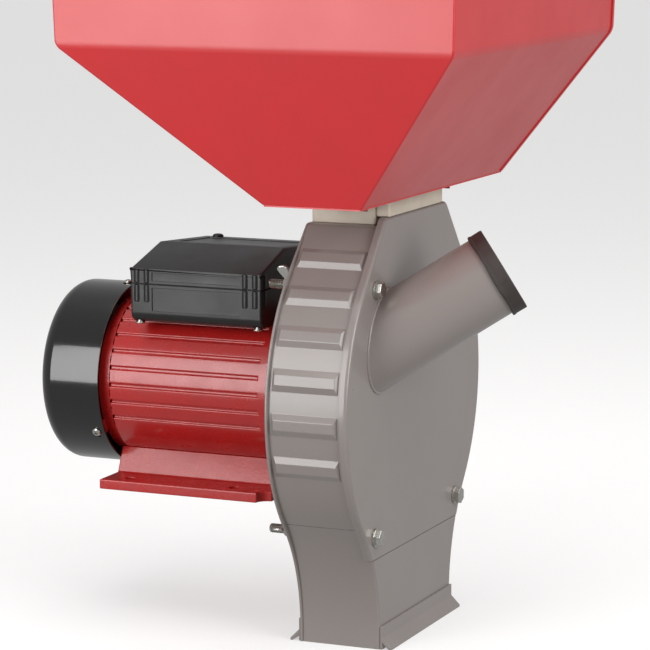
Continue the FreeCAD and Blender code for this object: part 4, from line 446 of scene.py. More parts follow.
def outlineHalf(bm, x, radius, foot, rise, lowest, ribbed=False, highest=None):
    # From the middle of the flat top round to the foot, on the +Y side; lowest is where it stops.
    half, corner, straight = casing["half"], casing["corner"], casing["straight"]
    drop = axisHeight - straight
    reverse = (foot ** 2 + drop ** 2 - radius ** 2) / (2 * (radius - foot))
    neck = math.degrees(math.asin(drop / (radius + reverse)))
    pivot = (radius + reverse) * math.cos(math.radians(neck))
    seam = axisHeight - radius * math.sin(math.radians(neck))
    if highest is None:
        shoulder = shoulderAngle(radius, rise, half)
        bend = 90 - shoulder
        lead = corner * math.tan(math.radians(bend / 2))
        vert = bm.verts.new((x * mm, 0, (axisHeight + rise) * mm))
        vert = nextVert(bm, vert, half - lead, axisHeight + rise)
        vert = arcOn(bm, vert, half - lead, axisHeight + rise - corner, -bend, 6)
        stops = [shoulder]
        if ribbed:
            ribs = [casing["ribStart"] + casing["ribPitch"] * i for i in range(casing["ribs"])]
            edges = sorted([r + side * casing["ribHalf"] for r in ribs for side in (-1, 1)], reverse=True)
            stops = [a for a in edges if a > shoulder] + stops + [a for a in edges if a < shoulder]
        for angle in [a for a in stops if a >= shoulder]:
            reach = radius / math.cos(math.radians(angle - shoulder))
            vert = nextVert(bm, vert, reach * math.cos(math.radians(angle)),
                            axisHeight + reach * math.sin(math.radians(angle)))
        last = shoulder
        for angle in [a for a in stops if a < shoulder] + [-neck]:
            steps = max(1, round((last - angle) / casing["step"]))
            vert = arcOn(bm, vert, 0, axisHeight, angle - last, steps)
            last = angle
        start = neck
    else:
        start = math.degrees(math.asin((highest - straight) / reverse))
        vert = bm.verts.new((x * mm, (pivot - reverse * math.cos(math.radians(start))) * mm, highest * mm))
    if lowest < seam - 0.5:
        end = math.degrees(math.asin(max(0, lowest - straight) / reverse))
        vert = arcOn(bm, vert, pivot, straight, start - end, max(2, round((start - end) / 2.5)))
        if lowest < straight:
            vert = nextVert(bm, vert, foot, lowest)
    return vert


def mirrored(bm):
    bmesh.ops.mirror(bm, geom=bm.verts[:] + bm.edges[:] + bm.faces[:], matrix=Matrix.Identity(4),
                     merge_dist=tiny, axis="Y")
    return merged(bm)


def pulledAlong(bm, edges, distance):
    grown = bmesh.ops.extrude_edge_only(bm, edges=edges)["geom"]
    bmesh.ops.translate(bm, vec=(distance * mm, 0, 0), verts=vertsIn(grown))
    return edgesIn(grown)


def ribAngle(face):
    spot = face.calc_center_median() / mm
    angle = math.degrees(math.atan2(spot.z - axisHeight, abs(spot.y)))
    for i in range(casing["ribs"]):
        if abs(angle - casing["ribStart"] - casing["ribPitch"] * i) < casing["ribHalf"]:
            return i, spot.y > 0
    return None


def makeCasingWall():
    # The half outline is pulled along the shaft in three steps; the ribs are pressed out of the middle one.
    bottom, top = low("casing_wall"), high("casing_wall")
    coverBack = low("front_cover").x
    bm = bmesh.new()
    outlineHalf(bm, bottom.x, casing["radius"], casing["foot"], top.z - axisHeight, bottom.z, ribbed=True)
    edges = bm.edges[:]
    stops = [bottom.x, bottom.x + casing["ribInset"], coverBack - casing["ribShort"], top.x]
    for start, end in zip(stops, stops[1:]):
        edges = pulledAlong(bm, edges, end - start)
    mirrored(bm)
    facedOutward(bm, Vector((0, 0, axisHeight * mm)))
    ribs = {}
    for face in bm.faces:
        x = face.calc_center_median().x / mm
        key = ribAngle(face)
        if key and stops[1] < x < stops[2]:
            ribs.setdefault(key, []).append(face)
    for faces in ribs.values():
        bmesh.ops.inset_region(bm, faces=faces, thickness=casing["ribFlank"] * mm,
                               depth=casing["ribRise"] * mm, use_even_offset=True, use_boundary=True)
    for vert in bm.verts:
        for stop, way in ((stops[1], 1), (stops[2], -1)):
            if abs(vert.co.x / mm - stop - way * casing["ribFlank"]) < 0.2:
                vert.co.x = (stop + way * casing["ribEnd"]) * mm
    piece = pieceOf("casingShell", bm)
    addBevel(piece, 1.2, 3, 20)
    addWall(piece, casing["wall"], even=False)
    throat = {"x": (low("feed_collar_rear").x + 18, high("feed_collar_rear").x - 3), "half": 30}
    hole = boxShape((throat["x"][0], -throat["half"], top.z - 10),
                    (throat["x"][1], throat["half"], top.z + 10))
    carve(piece, [pieceOf("throatCutter", hole)])
    present(piece, ["casing_wall"], 24)


def makeRearPlate():
    plate = {"rim": 3.5, "edge": 0.7}
    bottom, top = low("rear_plate"), high("rear_plate")
    bm = bmesh.new()
    outlineHalf(bm, bottom.x, casing["radius"] + plate["rim"], casing["foot"] + plate["rim"] / 2,
                top.z - axisHeight, 0)
    mirrored(bm)
    bmesh.ops.contextual_create(bm, geom=bm.edges[:])
    pulledFaces(bm, top.x - bottom.x)
    piece = pieceOf("rearPlateRounded", bm)
    addBevel(piece, plate["edge"], 3, 50)
    settle(piece)
    present(piece, ["rear_plate"])


def makeOutletDuct():
    # Side walls that follow the neck, and a front wall between them, below the cover's lower edge.
    duct = {"gap": 0.5, "corner": 2.6, "wall": 1.5}
    bottom, top = low("outlet_duct"), high("outlet_duct")
    coverLow = low("front_cover").z
    wallFront = high("casing_wall").x
    bm = bmesh.new()
    outlineHalf(bm, bottom.x, casing["radius"], casing["foot"], 0, 0, highest=top.z - duct["gap"])
    cut = (coverLow - duct["gap"]) * mm
    bmesh.ops.bisect_plane(bm, geom=bm.verts[:] + bm.edges[:], plane_co=(0, 0, cut), plane_no=(0, 0, 1))
    edges = pulledAlong(bm, bm.edges[:], wallFront - bottom.x)
    lower = [e for e in edges if max(v.co.z for v in e.verts) < cut + tiny]
    edges = pulledAlong(bm, lower, top.x - wallFront)
    mirrored(bm)
    front = [e for e in bm.edges if e.is_boundary and all(v.co.x > top.x * mm - tiny for v in e.verts)]
    bmesh.ops.bridge_loops(bm, edges=front)
    facedOutward(bm, Vector((0, 0, 50 * mm)))
    corners = sharpEdges(bm, 1.2)
    rounded(bm, corners, duct["corner"], 5)
    piece = pieceOf("outletShell", bm)
    addWall(piece, duct["wall"], even=False)
    addBevel(piece, 0.35, 2, 60)
    settle(piece)
    present(piece, ["outlet_duct"])


def makeFrontCover():
    # A shallow pan: skirt, rounded edge and flat face, open at the bottom.
    cover = {"round": 3.2, "wall": 1.6, "gap": 0.4}
    bottom, top = low("front_cover"), high("front_cover")
    grow = cover["wall"] + cover["gap"]
    bm = bmesh.new()
    outlineHalf(bm, bottom.x, casing["radius"] + grow, casing["foot"] + grow, top.z - axisHeight, bottom.z)
    mirrored(bm)
    edges = pulledAlong(bm, bm.edges[:], top.x - bottom.x)
    ends = [v for e in edges for v in e.verts if len(v.link_edges) == 2]
    bm.edges.new(ends[:2])
    front = [e for e in bm.edges if all(v.co.x > top.x * mm - tiny for v in e.verts)]
    bmesh.ops.contextual_create(bm, geom=front)
    facedOutward(bm, Vector((0, 0, axisHeight * mm)))
    corners = sharpEdges(bm, 1.2)
    rounded(bm, corners, cover["round"], 6)
    piece = pieceOf("coverPan", bm)
    addWall(piece, cover["wall"])
    bore = tubeShape(tube["radius"] - tube["wall"], -60, 60)
    carve(piece, [pieceOf("boreCutter", bore)])
    addBevel(piece, 0.3, 2, 60)
    settle(piece)
    present(piece, ["front_cover"], 30)


# Cob tube and its cap. The tube's direction comes from the joint that pulls the cap off.

capJoint = next(j for j in frame["joints"] if j["name"] == "cap_pull")
tubeWay = Vector(capJoint["axis"]).normalized()
tube = {
    "radius": 35, "wall": 2, "reach": 112, "sleeve": 10, "capEnd": 3.3, "capWall": 2.2, "gap": 0.3,
    "weld": 1.5,
}
coverFront = high("front_cover").x


def tubeFoot():
    # The cap's middle, brought back down the tube to the cover's face.
    middle = (low("tube_cap") + high("tube_cap")) / 2
    return middle + tubeWay * ((coverFront - middle.x) / tubeWay.x)


footSpot = tubeFoot()
tubePlace = at(*footSpot) @ facing(tubeWay)


def tubeShape(radius, start, end):
    bm = bmesh.new()
    addRod(bm, radius, end - start, 96)
    along = tubePlace @ at((start + end) / 2, 0, 0) @ Matrix.Rotation(turn / 4, 4, "Y")
    bmesh.ops.transform(bm, matrix=along, verts=bm.verts)
    return bm


def makeCobTube():
    bm = tubeShape(tube["radius"], -60, tube["reach"])
    bmesh.ops.delete(bm, geom=[f for f in bm.faces if len(f.verts) > 4], context="FACES")
    bmesh.ops.bisect_plane(bm, geom=bm.verts[:] + bm.edges[:] + bm.faces[:], plane_co=(coverFront * mm, 0, 0),
                           plane_no=xWay, clear_inner=True)
    facedOutward(bm, (footSpot + tubeWay * tube["reach"] / 2) * mm)
    piece = pieceOf("cobTubeRolled", bm)
    addWall(piece, tube["wall"])
    addBevel(piece, 0.4, 2, 60)
    settle(piece)
    present(piece, ["cob_tube"])
    # A thin weld bead where the tube meets the cover.
    line = bpy.data.curves.new("tubeWeld", "CURVE")
    line.dimensions = "3D"
    line.bevel_depth = tube["weld"] * mm
    line.bevel_resolution = 3
    count = 96
    path = line.splines.new("POLY")
    path.points.add(count - 1)
    path.use_cyclic_u = True
    for i, point in enumerate(path.points):
        around = tubePlace @ Vector((0, math.cos(turn * i / count), math.sin(turn * i / count)))
        spoke = (around - footSpot * mm) * tube["radius"]
        slide = -spoke.x / tubeWay.x
        ripple = 1 + 0.12 * math.sin(i * 2.9)
        point.co = ((footSpot + spoke + tubeWay * slide) * mm).to_4d()
        point.radius = ripple
    bead = linked("weldBead", line)
    settleCurve(bead, "tubeWeldBead", "cover", "casing_paint")


def settleCurve(curve, name, body, slot):
    graph = bpy.context.evaluated_depsgraph_get()
    mesh = bpy.data.meshes.new_from_object(curve.evaluated_get(graph))
    bpy.data.objects.remove(curve)
    piece = linked(name, mesh)
    present(piece, [], 60, body, slot)


def makeTubeCap():
    # A rubber cup: rounded rim, a slack lip that waves a little, and a shallow dish in its end.
    inside = tube["radius"] + tube["gap"]
    outside = inside + tube["capWall"]
    start, finishX = tube["reach"] - tube["sleeve"], tube["reach"] + tube["capEnd"]
    profile = [
        (tube["reach"] + tube["gap"], 0), (tube["reach"] + tube["gap"], inside), (start, inside),
        (start, outside), (start + 2.4, outside), (start + 3.0, outside - 0.45), (finishX, outside - 0.3),
        (finishX, outside - 4), (finishX - 0.6, outside - 5), (finishX - 0.6, 0),
    ]
    bm = turnedShape(profile, 96)
    for vert in bm.verts:
        if vert.co.x < (start + 2) * mm:
            angle = math.atan2(vert.co.z, vert.co.y)
            vert.co.x += 0.35 * mm * math.sin(angle * 5 + 0.7)
    bmesh.ops.transform(bm, matrix=tubePlace, verts=bm.verts)
    piece = pieceOf("tubeCapMoulded", bm)
    addBevel(piece, 0.9, 3, 50)
    settle(piece)
    present(piece, ["tube_cap"])


makeCasingWall()
makeRearPlate()
makeOutletDuct()
makeFrontCover()
makeCobTube()
makeTubeCap()
roundedCopy("outlet_lips", 0.4)
print("chamber, cover and cob tube made")


# Fasteners

def boltPlaces():
    spots = []
    for i in (1, 2, 3, 4):
        joint = next(j for j in frame["joints"] if j["name"] == f"wing_nut_turn_{i}")
        spots.append((joint["pos_m"][1] / mm, joint["pos_m"][2] / mm))
    return spots


def makeCoverBolts():
    # M8 bolts: hexagon head on a washer in front, rolled thread at the back.
    bolt = {"radius": 4, "head": 7.5, "depth": 5.3, "washer": 8, "sheet": 1.5, "pitch": 1.25, "threads": 19,
            "chamfer": 0.9, "bore": 4.1}
    tail = low("cover_bolts").x
    seat = coverFront + bolt["sheet"]
    profile = [(tail, 0), (tail, bolt["radius"] - 1.0), (tail + 0.8, bolt["radius"] - 0.2)]
    x = tail + 0.8
    for _ in range(bolt["threads"]):
        profile += [(x + bolt["pitch"] * 0.5, bolt["radius"] - 0.65), (x + bolt["pitch"], bolt["radius"])]
        x += bolt["pitch"]
    profile += [(x + 0.5, bolt["radius"] - 0.1), (seat + 1, bolt["radius"] - 0.1), (seat + 1, 0)]
    one = turnedShape(profile, 32)
    head = bmesh.new()
    addRod(head, bolt["head"], bolt["depth"], 6)
    bmesh.ops.rotate(head, cent=centre, matrix=Matrix.Rotation(turn / 4, 3, "Y"), verts=head.verts)
    outer = max(head.faces, key=lambda f: f.calc_center_median().x)
    bmesh.ops.inset_region(head, faces=[outer], thickness=bolt["chamfer"] * mm, depth=0)
    slope = bolt["chamfer"] * 0.45
    bmesh.ops.translate(head, vec=(slope * mm, 0, 0), verts=outer.verts)
    bmesh.ops.translate(head, vec=((seat + bolt["depth"] / 2 - slope) * mm, 0, 0), verts=head.verts)
    rounded(head, sharpEdges(head, 0.3), 0.35, 2)
    washer = turnedShape([(coverFront, bolt["bore"]), (seat, bolt["bore"]), (seat, bolt["washer"]),
                          (coverFront, bolt["washer"])], 40, closed=True)
    rounded(washer, sharpEdges(washer, 1), 0.35, 2)
    meshes = [meshOf(one, "boltShank"), meshOf(head, "boltHead"), meshOf(washer, "boltWasher")]
    bm = bmesh.new()
    for (y, z), tilt in zip(boltPlaces(), (8, 22, -14, 31)):
        for mesh in meshes:
            stamp(bm, mesh, at(0, y, z) @ rolled(tilt))
    piece = pieceOf("coverBoltsThreaded", bm)
    present(piece, ["cover_bolts"], 30)


def makeWingNuts():
    # Pressed wing nuts: a conical hub, and two wings that sweep back from the plate.
    nut = {"hub": 7.4, "top": 5.4, "depth": 9, "bore": 4.05, "wing": 2.6,
           "outline": ((-1.6, 4.6), (-5.2, 15.4), (-8.4, 17.0), (-13.2, 16.2), (-15.2, 13.6), (-12.6, 9.6),
                       (-8.2, 4.6)),
           "turns": (12, -12, 80, -80)}
    hub = turnedShape([(-nut["depth"], nut["bore"]), (-nut["depth"], nut["top"]),
                       (-nut["depth"] + 2.2, nut["top"] + 0.9), (-1.2, nut["hub"]), (0, nut["hub"]),
                       (0, nut["bore"])], 40, closed=True)
    rounded(hub, sharpEdges(hub, 0.6), 0.5, 2)
    hubMesh = meshOf(hub, "wingHub")
    wing = prismShape(nut["outline"], nut["wing"])
    rounded(wing, wing.edges[:], 0.95, 3)
    wingMesh = meshOf(wing, "wingBlade")
    back = high("wing_nut_1").x
    for i, ((y, z), tilt) in enumerate(zip(boltPlaces(), nut["turns"]), start=1):
        bm = bmesh.new()
        place = at(back, y, z) @ rolled(tilt)
        stamp(bm, hubMesh, place)
        for half in (0, turn / 2):
            stamp(bm, wingMesh, place @ Matrix.Rotation(half, 4, "X"))
        piece = pieceOf(f"wingNut{i}", bm)
        present(piece, [f"wing_nut_{i}"], 40)


def crossScrew(radius, height, shank, length):
    # A pan head with a cross recess, along +X from its seat at X = 0.
    bm = turnedShape([(-length, 0), (-length, shank - 0.5), (-length + 0.6, shank), (0, shank), (0, radius),
                      (height * 0.4, radius), (height * 0.78, radius * 0.82), (height, radius * 0.45),
                      (height, 0)], 40)
    piece = pieceOf("crossScrew", bm)
    addBevel(piece, 0.25, 2, 40)
    cutters = []
    for angle in (0, turn / 4):
        blade = boxShape((height * 0.35, -radius * 0.62, -radius * 0.13),
                         (height * 2, radius * 0.62, radius * 0.13))
        bmesh.ops.rotate(blade, cent=centre, matrix=Matrix.Rotation(angle, 3, "X"), verts=blade.verts)
        cutters.append(pieceOf("crossBlade", blade))
    carve(piece, cutters)
    mesh = piece.data
    bpy.data.objects.remove(piece)
    return mesh


fanScrews = {"angles": (-147, -27, 93), "in": 8}


def makeScrewSets():
    fanScrew = crossScrew(4, 2.4, 2, 10)
    coverRadius = (high("fan_cover") - low("fan_cover")).z / 2
    screwX = high("fan_cover").x - fanScrews["in"]
    bm = bmesh.new()
    for angle, spin in zip(fanScrews["angles"], (20, 52, 75)):
        place = aboutShaft(angle) @ at(screwX, coverRadius + 0.1, axisHeight) @ facing((0, 1, 0))
        stamp(bm, fanScrew, place @ rolled(spin))
    chamberRear = high("rear_plate").x
    flangeScrew = crossScrew(4.2, 3.5, 2.5, 15)
    for angle in (45, 135, 225, 315):
        stamp(bm, flangeScrew, aboutShaft(angle) @ at(chamberRear, 52.5, axisHeight))
    piece = pieceOf("motorScrewsCrossed", bm)
    present(piece, ["motor_screws"], 30)

    boxScrew = crossScrew(4.2, 2.2, 2.4, 30)
    bm = bmesh.new()
    under = low("box_base").z
    for x in (low("box_base").x + 6.3, high("box_base").x - 6.3):
        for y in (low("box_base").y + 6.3, high("box_base").y - 6.3):
            stamp(bm, boxScrew, at(x, y, under) @ facing((0, 0, -1)))
    piece = pieceOf("boxScrewsCrossed", bm)
    present(piece, ["box_screws"], 30)

    floorTop = high("hopper_floor").z
    hopperScrew = crossScrew(4.2, 2.6, 2.5, 10)
    longScrew = crossScrew(4.2, 2.6, 2.5, floorTop - low("hopper_screws").z)
    frontX = high("hopper_screws").x - 4.2
    rearX = low("hopper_screws").x + 4.6
    nutSize = {"radius": 4.6, "height": 4.5, "lift": 2}
    nut = bmesh.new()
    addRod(nut, nutSize["radius"], nutSize["height"], 6)
    rounded(nut, nut.edges[:], 0.4, 2)
    nutMesh = meshOf(nut, "hopperNut")
    bm = bmesh.new()
    for y in (-48, 48):
        stamp(bm, hopperScrew, at(frontX, y, floorTop) @ facing((0, 0, 1)))
        stamp(bm, longScrew, at(rearX, y, floorTop) @ facing((0, 0, 1)))
        stamp(bm, nutMesh, at(rearX, y, low("hopper_screws").z + nutSize["lift"] + nutSize["height"] / 2))
    piece = pieceOf("hopperScrewsCrossed", bm)
    present(piece, ["hopper_screws"], 30)


makeCoverBolts()
makeWingNuts()
makeScrewSets()
print("fasteners made")


# Feed collar, gate and hopper

collar = {"corner": 2.6, "edge": 0.8, "throatHalf": 30, "throatIn": 18, "throatEdge": 3}


def collarBlock(node):
    block = boxShape(low(node), high(node))
    rounded(block, edgesAlong(block, "z"), collar["corner"], 5)
    rounded(block, sharpEdges(block, 1.2), collar["edge"], 3)
    return block


def makeCollar():
    bottom, top = low("feed_collar_rear"), high("feed_collar_rear")
    piece = pieceOf("collarRearCast", collarBlock("feed_collar_rear"))
    hole = boxShape((bottom.x + collar["throatIn"], -collar["throatHalf"], bottom.z - 5),
                    (top.x - collar["throatEdge"], collar["throatHalf"], top.z + 5))
    carve(piece, [pieceOf("collarCutter", hole)])
    present(piece, ["feed_collar_rear"])
    present(pieceOf("collarFrontCast", collarBlock("feed_collar_front")), ["feed_collar_front"])


hopper = {"sheet": 1.2, "seam": 5.5, "lap": 1.2, "fold": 4.5, "foldRise": 126, "corner": 1.6, "rimDepth": 4,
          "rimIn": 2.5, "flare": 3}


def foldedPanel(side, loops, corner):
    # loops are open chains of corners at the floor, the fold and the rim; the sheet is drawn up through them.
    bm = bmesh.new()
    chain = [bm.verts.new([c * mm for c in spot]) for spot in loops[0]]
    edges = [bm.edges.new(pair) for pair in zip(chain, chain[1:])]
    for loop in loops[1:]:
        grown = bmesh.ops.extrude_edge_only(bm, edges=edges)["geom"]
        edges = edgesIn(grown)
        ends = {}
        for edge in bm.edges:
            for old, new in (edge.verts, reversed(edge.verts)):
                if old in chain and new in vertsIn(grown):
                    ends[old] = new
        chain = [ends[v] for v in chain]
        for vert, spot in zip(chain, loop):
            vert.co = [c * mm for c in spot]
    facedOutward(bm, Vector((0, 0, 450 * mm)))
    foldZ = loops[1][0][2] * mm
    folds = [e for e in bm.edges if all(abs(v.co.z - foldZ) < tiny for v in e.verts)]
    rounded(bm, folds, hopper["fold"], 6)
    if corner:
        bends = sharpEdges(bm, 0.9)
        rounded(bm, bends, corner, 4)
    piece = pieceOf(f"hopper{side.title()}Sheet", bm)
    addWall(piece, hopper["sheet"])
    addBevel(piece, 0.35, 2, 60)
    settle(piece)
    present(piece, [f"hopper_{side}_panel"], 30)


def makeHopper():
    floorTop = high("hopper_floor").z
    foldZ = floorTop + hopper["foldRise"]
    rimZ = high("hopper_rim").z - hopper["rimDepth"]
    floorBox = (low("hopper_floor"), high("hopper_floor"))
    rimBox = (low("hopper_rim"), high("hopper_rim"))
    wallX = (rimBox[0].x + hopper["rimIn"], rimBox[1].x - hopper["rimIn"])
    wallY = rimBox[1].y - hopper["rimIn"]
    levels = [
        (floorTop, floorBox[0].x, floorBox[1].x, floorBox[1].y),
        (foldZ, wallX[0] + hopper["flare"], wallX[1] - hopper["flare"], wallY - hopper["flare"]),
        (rimZ, wallX[0], wallX[1], wallY),
    ]
    for side, way in (("left", -1), ("right", 1)):
        loops = []
        for z, rear, front, half in levels:
            rearX, frontX = rear - hopper["lap"], front + hopper["lap"]
            inner = half - hopper["seam"]
            loops.append([(rearX, way * inner, z), (rearX, way * half, z), (frontX, way * half, z),
                          (frontX, way * inner, z)])
        foldedPanel(side, loops, hopper["corner"])
    for side in ("rear", "front"):
        loops = []
        for z, rear, front, half in levels:
            x, inner = (rear if side == "rear" else front), half - hopper["sheet"]
            loops.append([(x, -inner, z), (x, inner, z)])
        foldedPanel(side, loops, 0)
    roundedCopy("hopper_rim", 1.6, 4)
    roundedCopy("hopper_floor", 0.3)
    roundedCopy("gate_rails", 0.5)
    roundedCopy("slide_gate", 0.6, 3)


makeCollar()
makeHopper()
print("hopper and gate made")


# Motor

def makeMotorHousing():
    # Lands and grooves are spun as one outline, then each groove is pressed in between its lands.
    motor = {"groove": 3.6, "depth": 1.8, "pitch": 12, "first": -24, "count": 20, "stop": 11, "wall": 9}
    bottom, top = low("motor_housing"), high("motor_housing")
    radius = (top.z - bottom.z) / 2
    half = math.degrees(motor["groove"] / 2 / radius)
    bm = bmesh.new()
    # The outline starts at the lower edge of the first groove, on the -Y side.
    start = math.radians(motor["first"] - half)
    vert = bm.verts.new((bottom.x * mm, radius * math.cos(start) * mm,
                         (axisHeight + radius * math.sin(start)) * mm))
    for i in range(motor["count"]):
        vert = arcOn(bm, vert, 0, axisHeight, 2 * half, 2)
        if i < motor["count"] - 1:
            vert = arcOn(bm, vert, 0, axisHeight, motor["pitch"] - 2 * half, 4)
    rest = 360 - motor["pitch"] * (motor["count"] - 1) - 2 * half
    arcOn(bm, vert, 0, axisHeight, rest, 40)
    merged(bm)
    edges = pulledAlong(bm, bm.edges[:], top.x - motor["stop"] - bottom.x)
    pulledAlong(bm, edges, motor["stop"])
    merged(bm)
    middle = Vector(((bottom.x + top.x) / 2 * mm, 0, axisHeight * mm))
    facedOutward(bm, middle)
    for i in range(motor["count"]):
        angle = motor["first"] + motor["pitch"] * i
        faces = []
        for face in bm.faces:
            spot = face.calc_center_median() / mm
            if spot.x > top.x - motor["stop"]:
                continue
            off = (math.degrees(math.atan2(spot.z - axisHeight, spot.y)) - angle + 180) % 360 - 180
            if abs(off) < half and math.hypot(spot.y, spot.z - axisHeight) > radius - 0.4:
                faces.append(face)
        bmesh.ops.inset_region(bm, faces=faces, thickness=0.5 * mm, depth=-motor["depth"] * mm,
                               use_even_offset=True, use_boundary=False)
    piece = pieceOf("motorHousingCast", bm)
    addWall(piece, motor["wall"])
    addBevel(piece, 0.7, 3, 35)
    settle(piece)
    present(piece, ["motor_housing"], 40)


def slotCutter(x, radius, angle, size, corner):
    # A rounded slot through the fan cover's end (size along the radius, across) at that radius and angle.
    bm = boxShape((x - 6, radius - size[0] / 2, -size[1] / 2), (x + 6, radius + size[0] / 2, size[1] / 2))
    rounded(bm, edgesAlong(bm, "x"), corner, 4)
    bmesh.ops.rotate(bm, cent=centre, matrix=Matrix.Rotation(math.radians(angle), 3, "X"), verts=bm.verts)
    bmesh.ops.translate(bm, vec=(0, 0, axisHeight * mm), verts=bm.verts)
    return bm


def makeFanCover():
    fan = {"round": 14, "wall": 1.6, "vents": ((58, 20), (40, 14), (22, 8)), "vent": (12, 4.4),
           "slot": (9, 4.8)}
    bottom, top = low("fan_cover"), high("fan_cover")
    radius = (top.z - bottom.z) / 2
    bm = turnedShape([(top.x, radius), (bottom.x, radius), (bottom.x, 0)], 120)
    bmesh.ops.translate(bm, vec=(0, 0, axisHeight * mm), verts=bm.verts)
    facedOutward(bm, Vector(((bottom.x + top.x) / 2 * mm, 0, axisHeight * mm)))
    corner = sharpEdges(bm, 1.2)
    rounded(bm, corner, fan["round"], 10)
    piece = pieceOf("fanCoverDrawn", bm)
    addWall(piece, fan["wall"])
    addBevel(piece, 0.5, 3, 60)
    settle(piece)
    cutters = bmesh.new()
    for ring, count in fan["vents"]:
        for i in range(count):
            slot = meshOf(slotCutter(bottom.x, ring, 360 * i / count, fan["vent"], 2.1), "vent")
            cutters.from_mesh(slot)
    # Each screw sits in a slot across the skirt.
    seat = top.x - fanScrews["in"]
    long, half = fan["slot"][0], fan["slot"][1] / 2
    for angle in fanScrews["angles"]:
        slot = boxShape((seat - half, radius - 6, -half), (seat + half, radius + 6, long - half))
        rounded(slot, edgesAlong(slot, "y"), 2.2, 5)
        stamp(cutters, meshOf(slot, "screwSlot"), aboutShaft(angle) @ at(0, 0, axisHeight))
    carve(piece, [pieceOf("fanCutters", cutters)])
    present(piece, ["fan_cover"], 30)


def makeMotorFoot():
    # Base plate, a web that narrows up to the housing, bolt holes and scooped corners.
    foot = {"plate": 8.5, "webFoot": 50, "webTop": 40, "notch": 10, "hole": 5, "holesX": (-203, -103),
            "holeY": 70}
    bottom, top = low("motor_foot"), high("motor_foot")
    radius = (high("motor_housing").z - low("motor_housing").z) / 2
    edge = math.degrees(math.acos(foot["webTop"] / radius))
    plate = bottom.z + foot["plate"]
    inner = foot["webFoot"] - foot["plate"]
    crown = axisHeight - radius - foot["plate"] * 0.6
    corners = [(-top.y, bottom.z), (-inner, bottom.z), (-foot["webTop"] + foot["plate"], crown),
               (foot["webTop"] - foot["plate"], crown), (inner, bottom.z), (top.y, bottom.z), (top.y, plate),
               (foot["webFoot"], plate)]
    for i in range(25):
        angle = math.radians(-edge - (180 - 2 * edge) * i / 24)
        corners.append((radius * math.cos(angle), axisHeight + radius * math.sin(angle)))
    corners += [(-foot["webFoot"], plate), (-top.y, plate)]
    bm = sectionShape(corners, bottom.x, top.x)
    piece = pieceOf("motorFootCast", bm)
    cutters = bmesh.new()
    spots = [(x, side * foot["holeY"], foot["hole"]) for x in foot["holesX"] for side in (-1, 1)]
    spots += [(top.x, side * top.y, foot["notch"]) for side in (-1, 1)]
    for x, y, size in spots:
        addRod(cutters, size, 50, 48, matrix=at(x, y, plate))
    carve(piece, [pieceOf("footCutters", cutters)])
    addBevel(piece, 1.1, 3, 35)
    settle(piece)
    present(piece, ["motor_foot"], 35)


makeMotorHousing()
makeFanCover()
makeMotorFoot()
roundedCopy("front_bracket", 0.9, 3)
roundedCopy("rear_bracket", 0.8, 3)
print("motor made")


# Terminal box

box = {"wall": 2.0, "lower": 9, "edge": 2.3, "post": 4.2, "proud": 1.0, "pillar": (6.3, 15.6),
       "panelIn": 20.5, "sunk": 1.1, "skirt": 15}


def panelCutters(lowZ, highZ):
    # The long faces are sunk a little between the pillars.
    bottom, top = low("box_base"), high("box_base")
    cutters = []
    for face, way in ((bottom.y, -1), (top.y, 1)):
        near, far = sorted((face - way * box["sunk"], face + way * 6))
        shape = boxShape((bottom.x + box["panelIn"], near, lowZ), (top.x - box["panelIn"], far, highZ))
        rounded(shape, shape.edges[:], 0.5, 2)
        cutters.append(pieceOf("panelCutter", shape))
    return cutters


def addPillars(piece, bottomZ, topZ):
    # Pairs of round pillars at the corners, a little proud of the walls.
    bm = bmesh.new()
    bm.from_mesh(piece.data)
    bottom, top = low("box_base"), high("box_base")
    reach = box["post"] - box["proud"]
    spots = []
    for way, end in ((1, bottom.x), (-1, top.x)):
        for side, face in ((1, bottom.y), (-1, top.y)):
            for inset in box["pillar"]:
                spots.append((end + way * inset, face + side * reach))
            spots.append((end + way * reach, face + side * box["pillar"][0]))
    for x, y in spots:
        one = bmesh.new()
        addRod(one, box["post"], topZ - bottomZ, 28)
        rounded(one, sharpEdges(one, 1), 0.9, 3)
        bmesh.ops.translate(one, vec=(x * mm, y * mm, (bottomZ + topZ) / 2 * mm), verts=one.verts)
        bm.from_mesh(meshOf(one, "pillar"))
    bm.to_mesh(piece.data)
    bm.free()


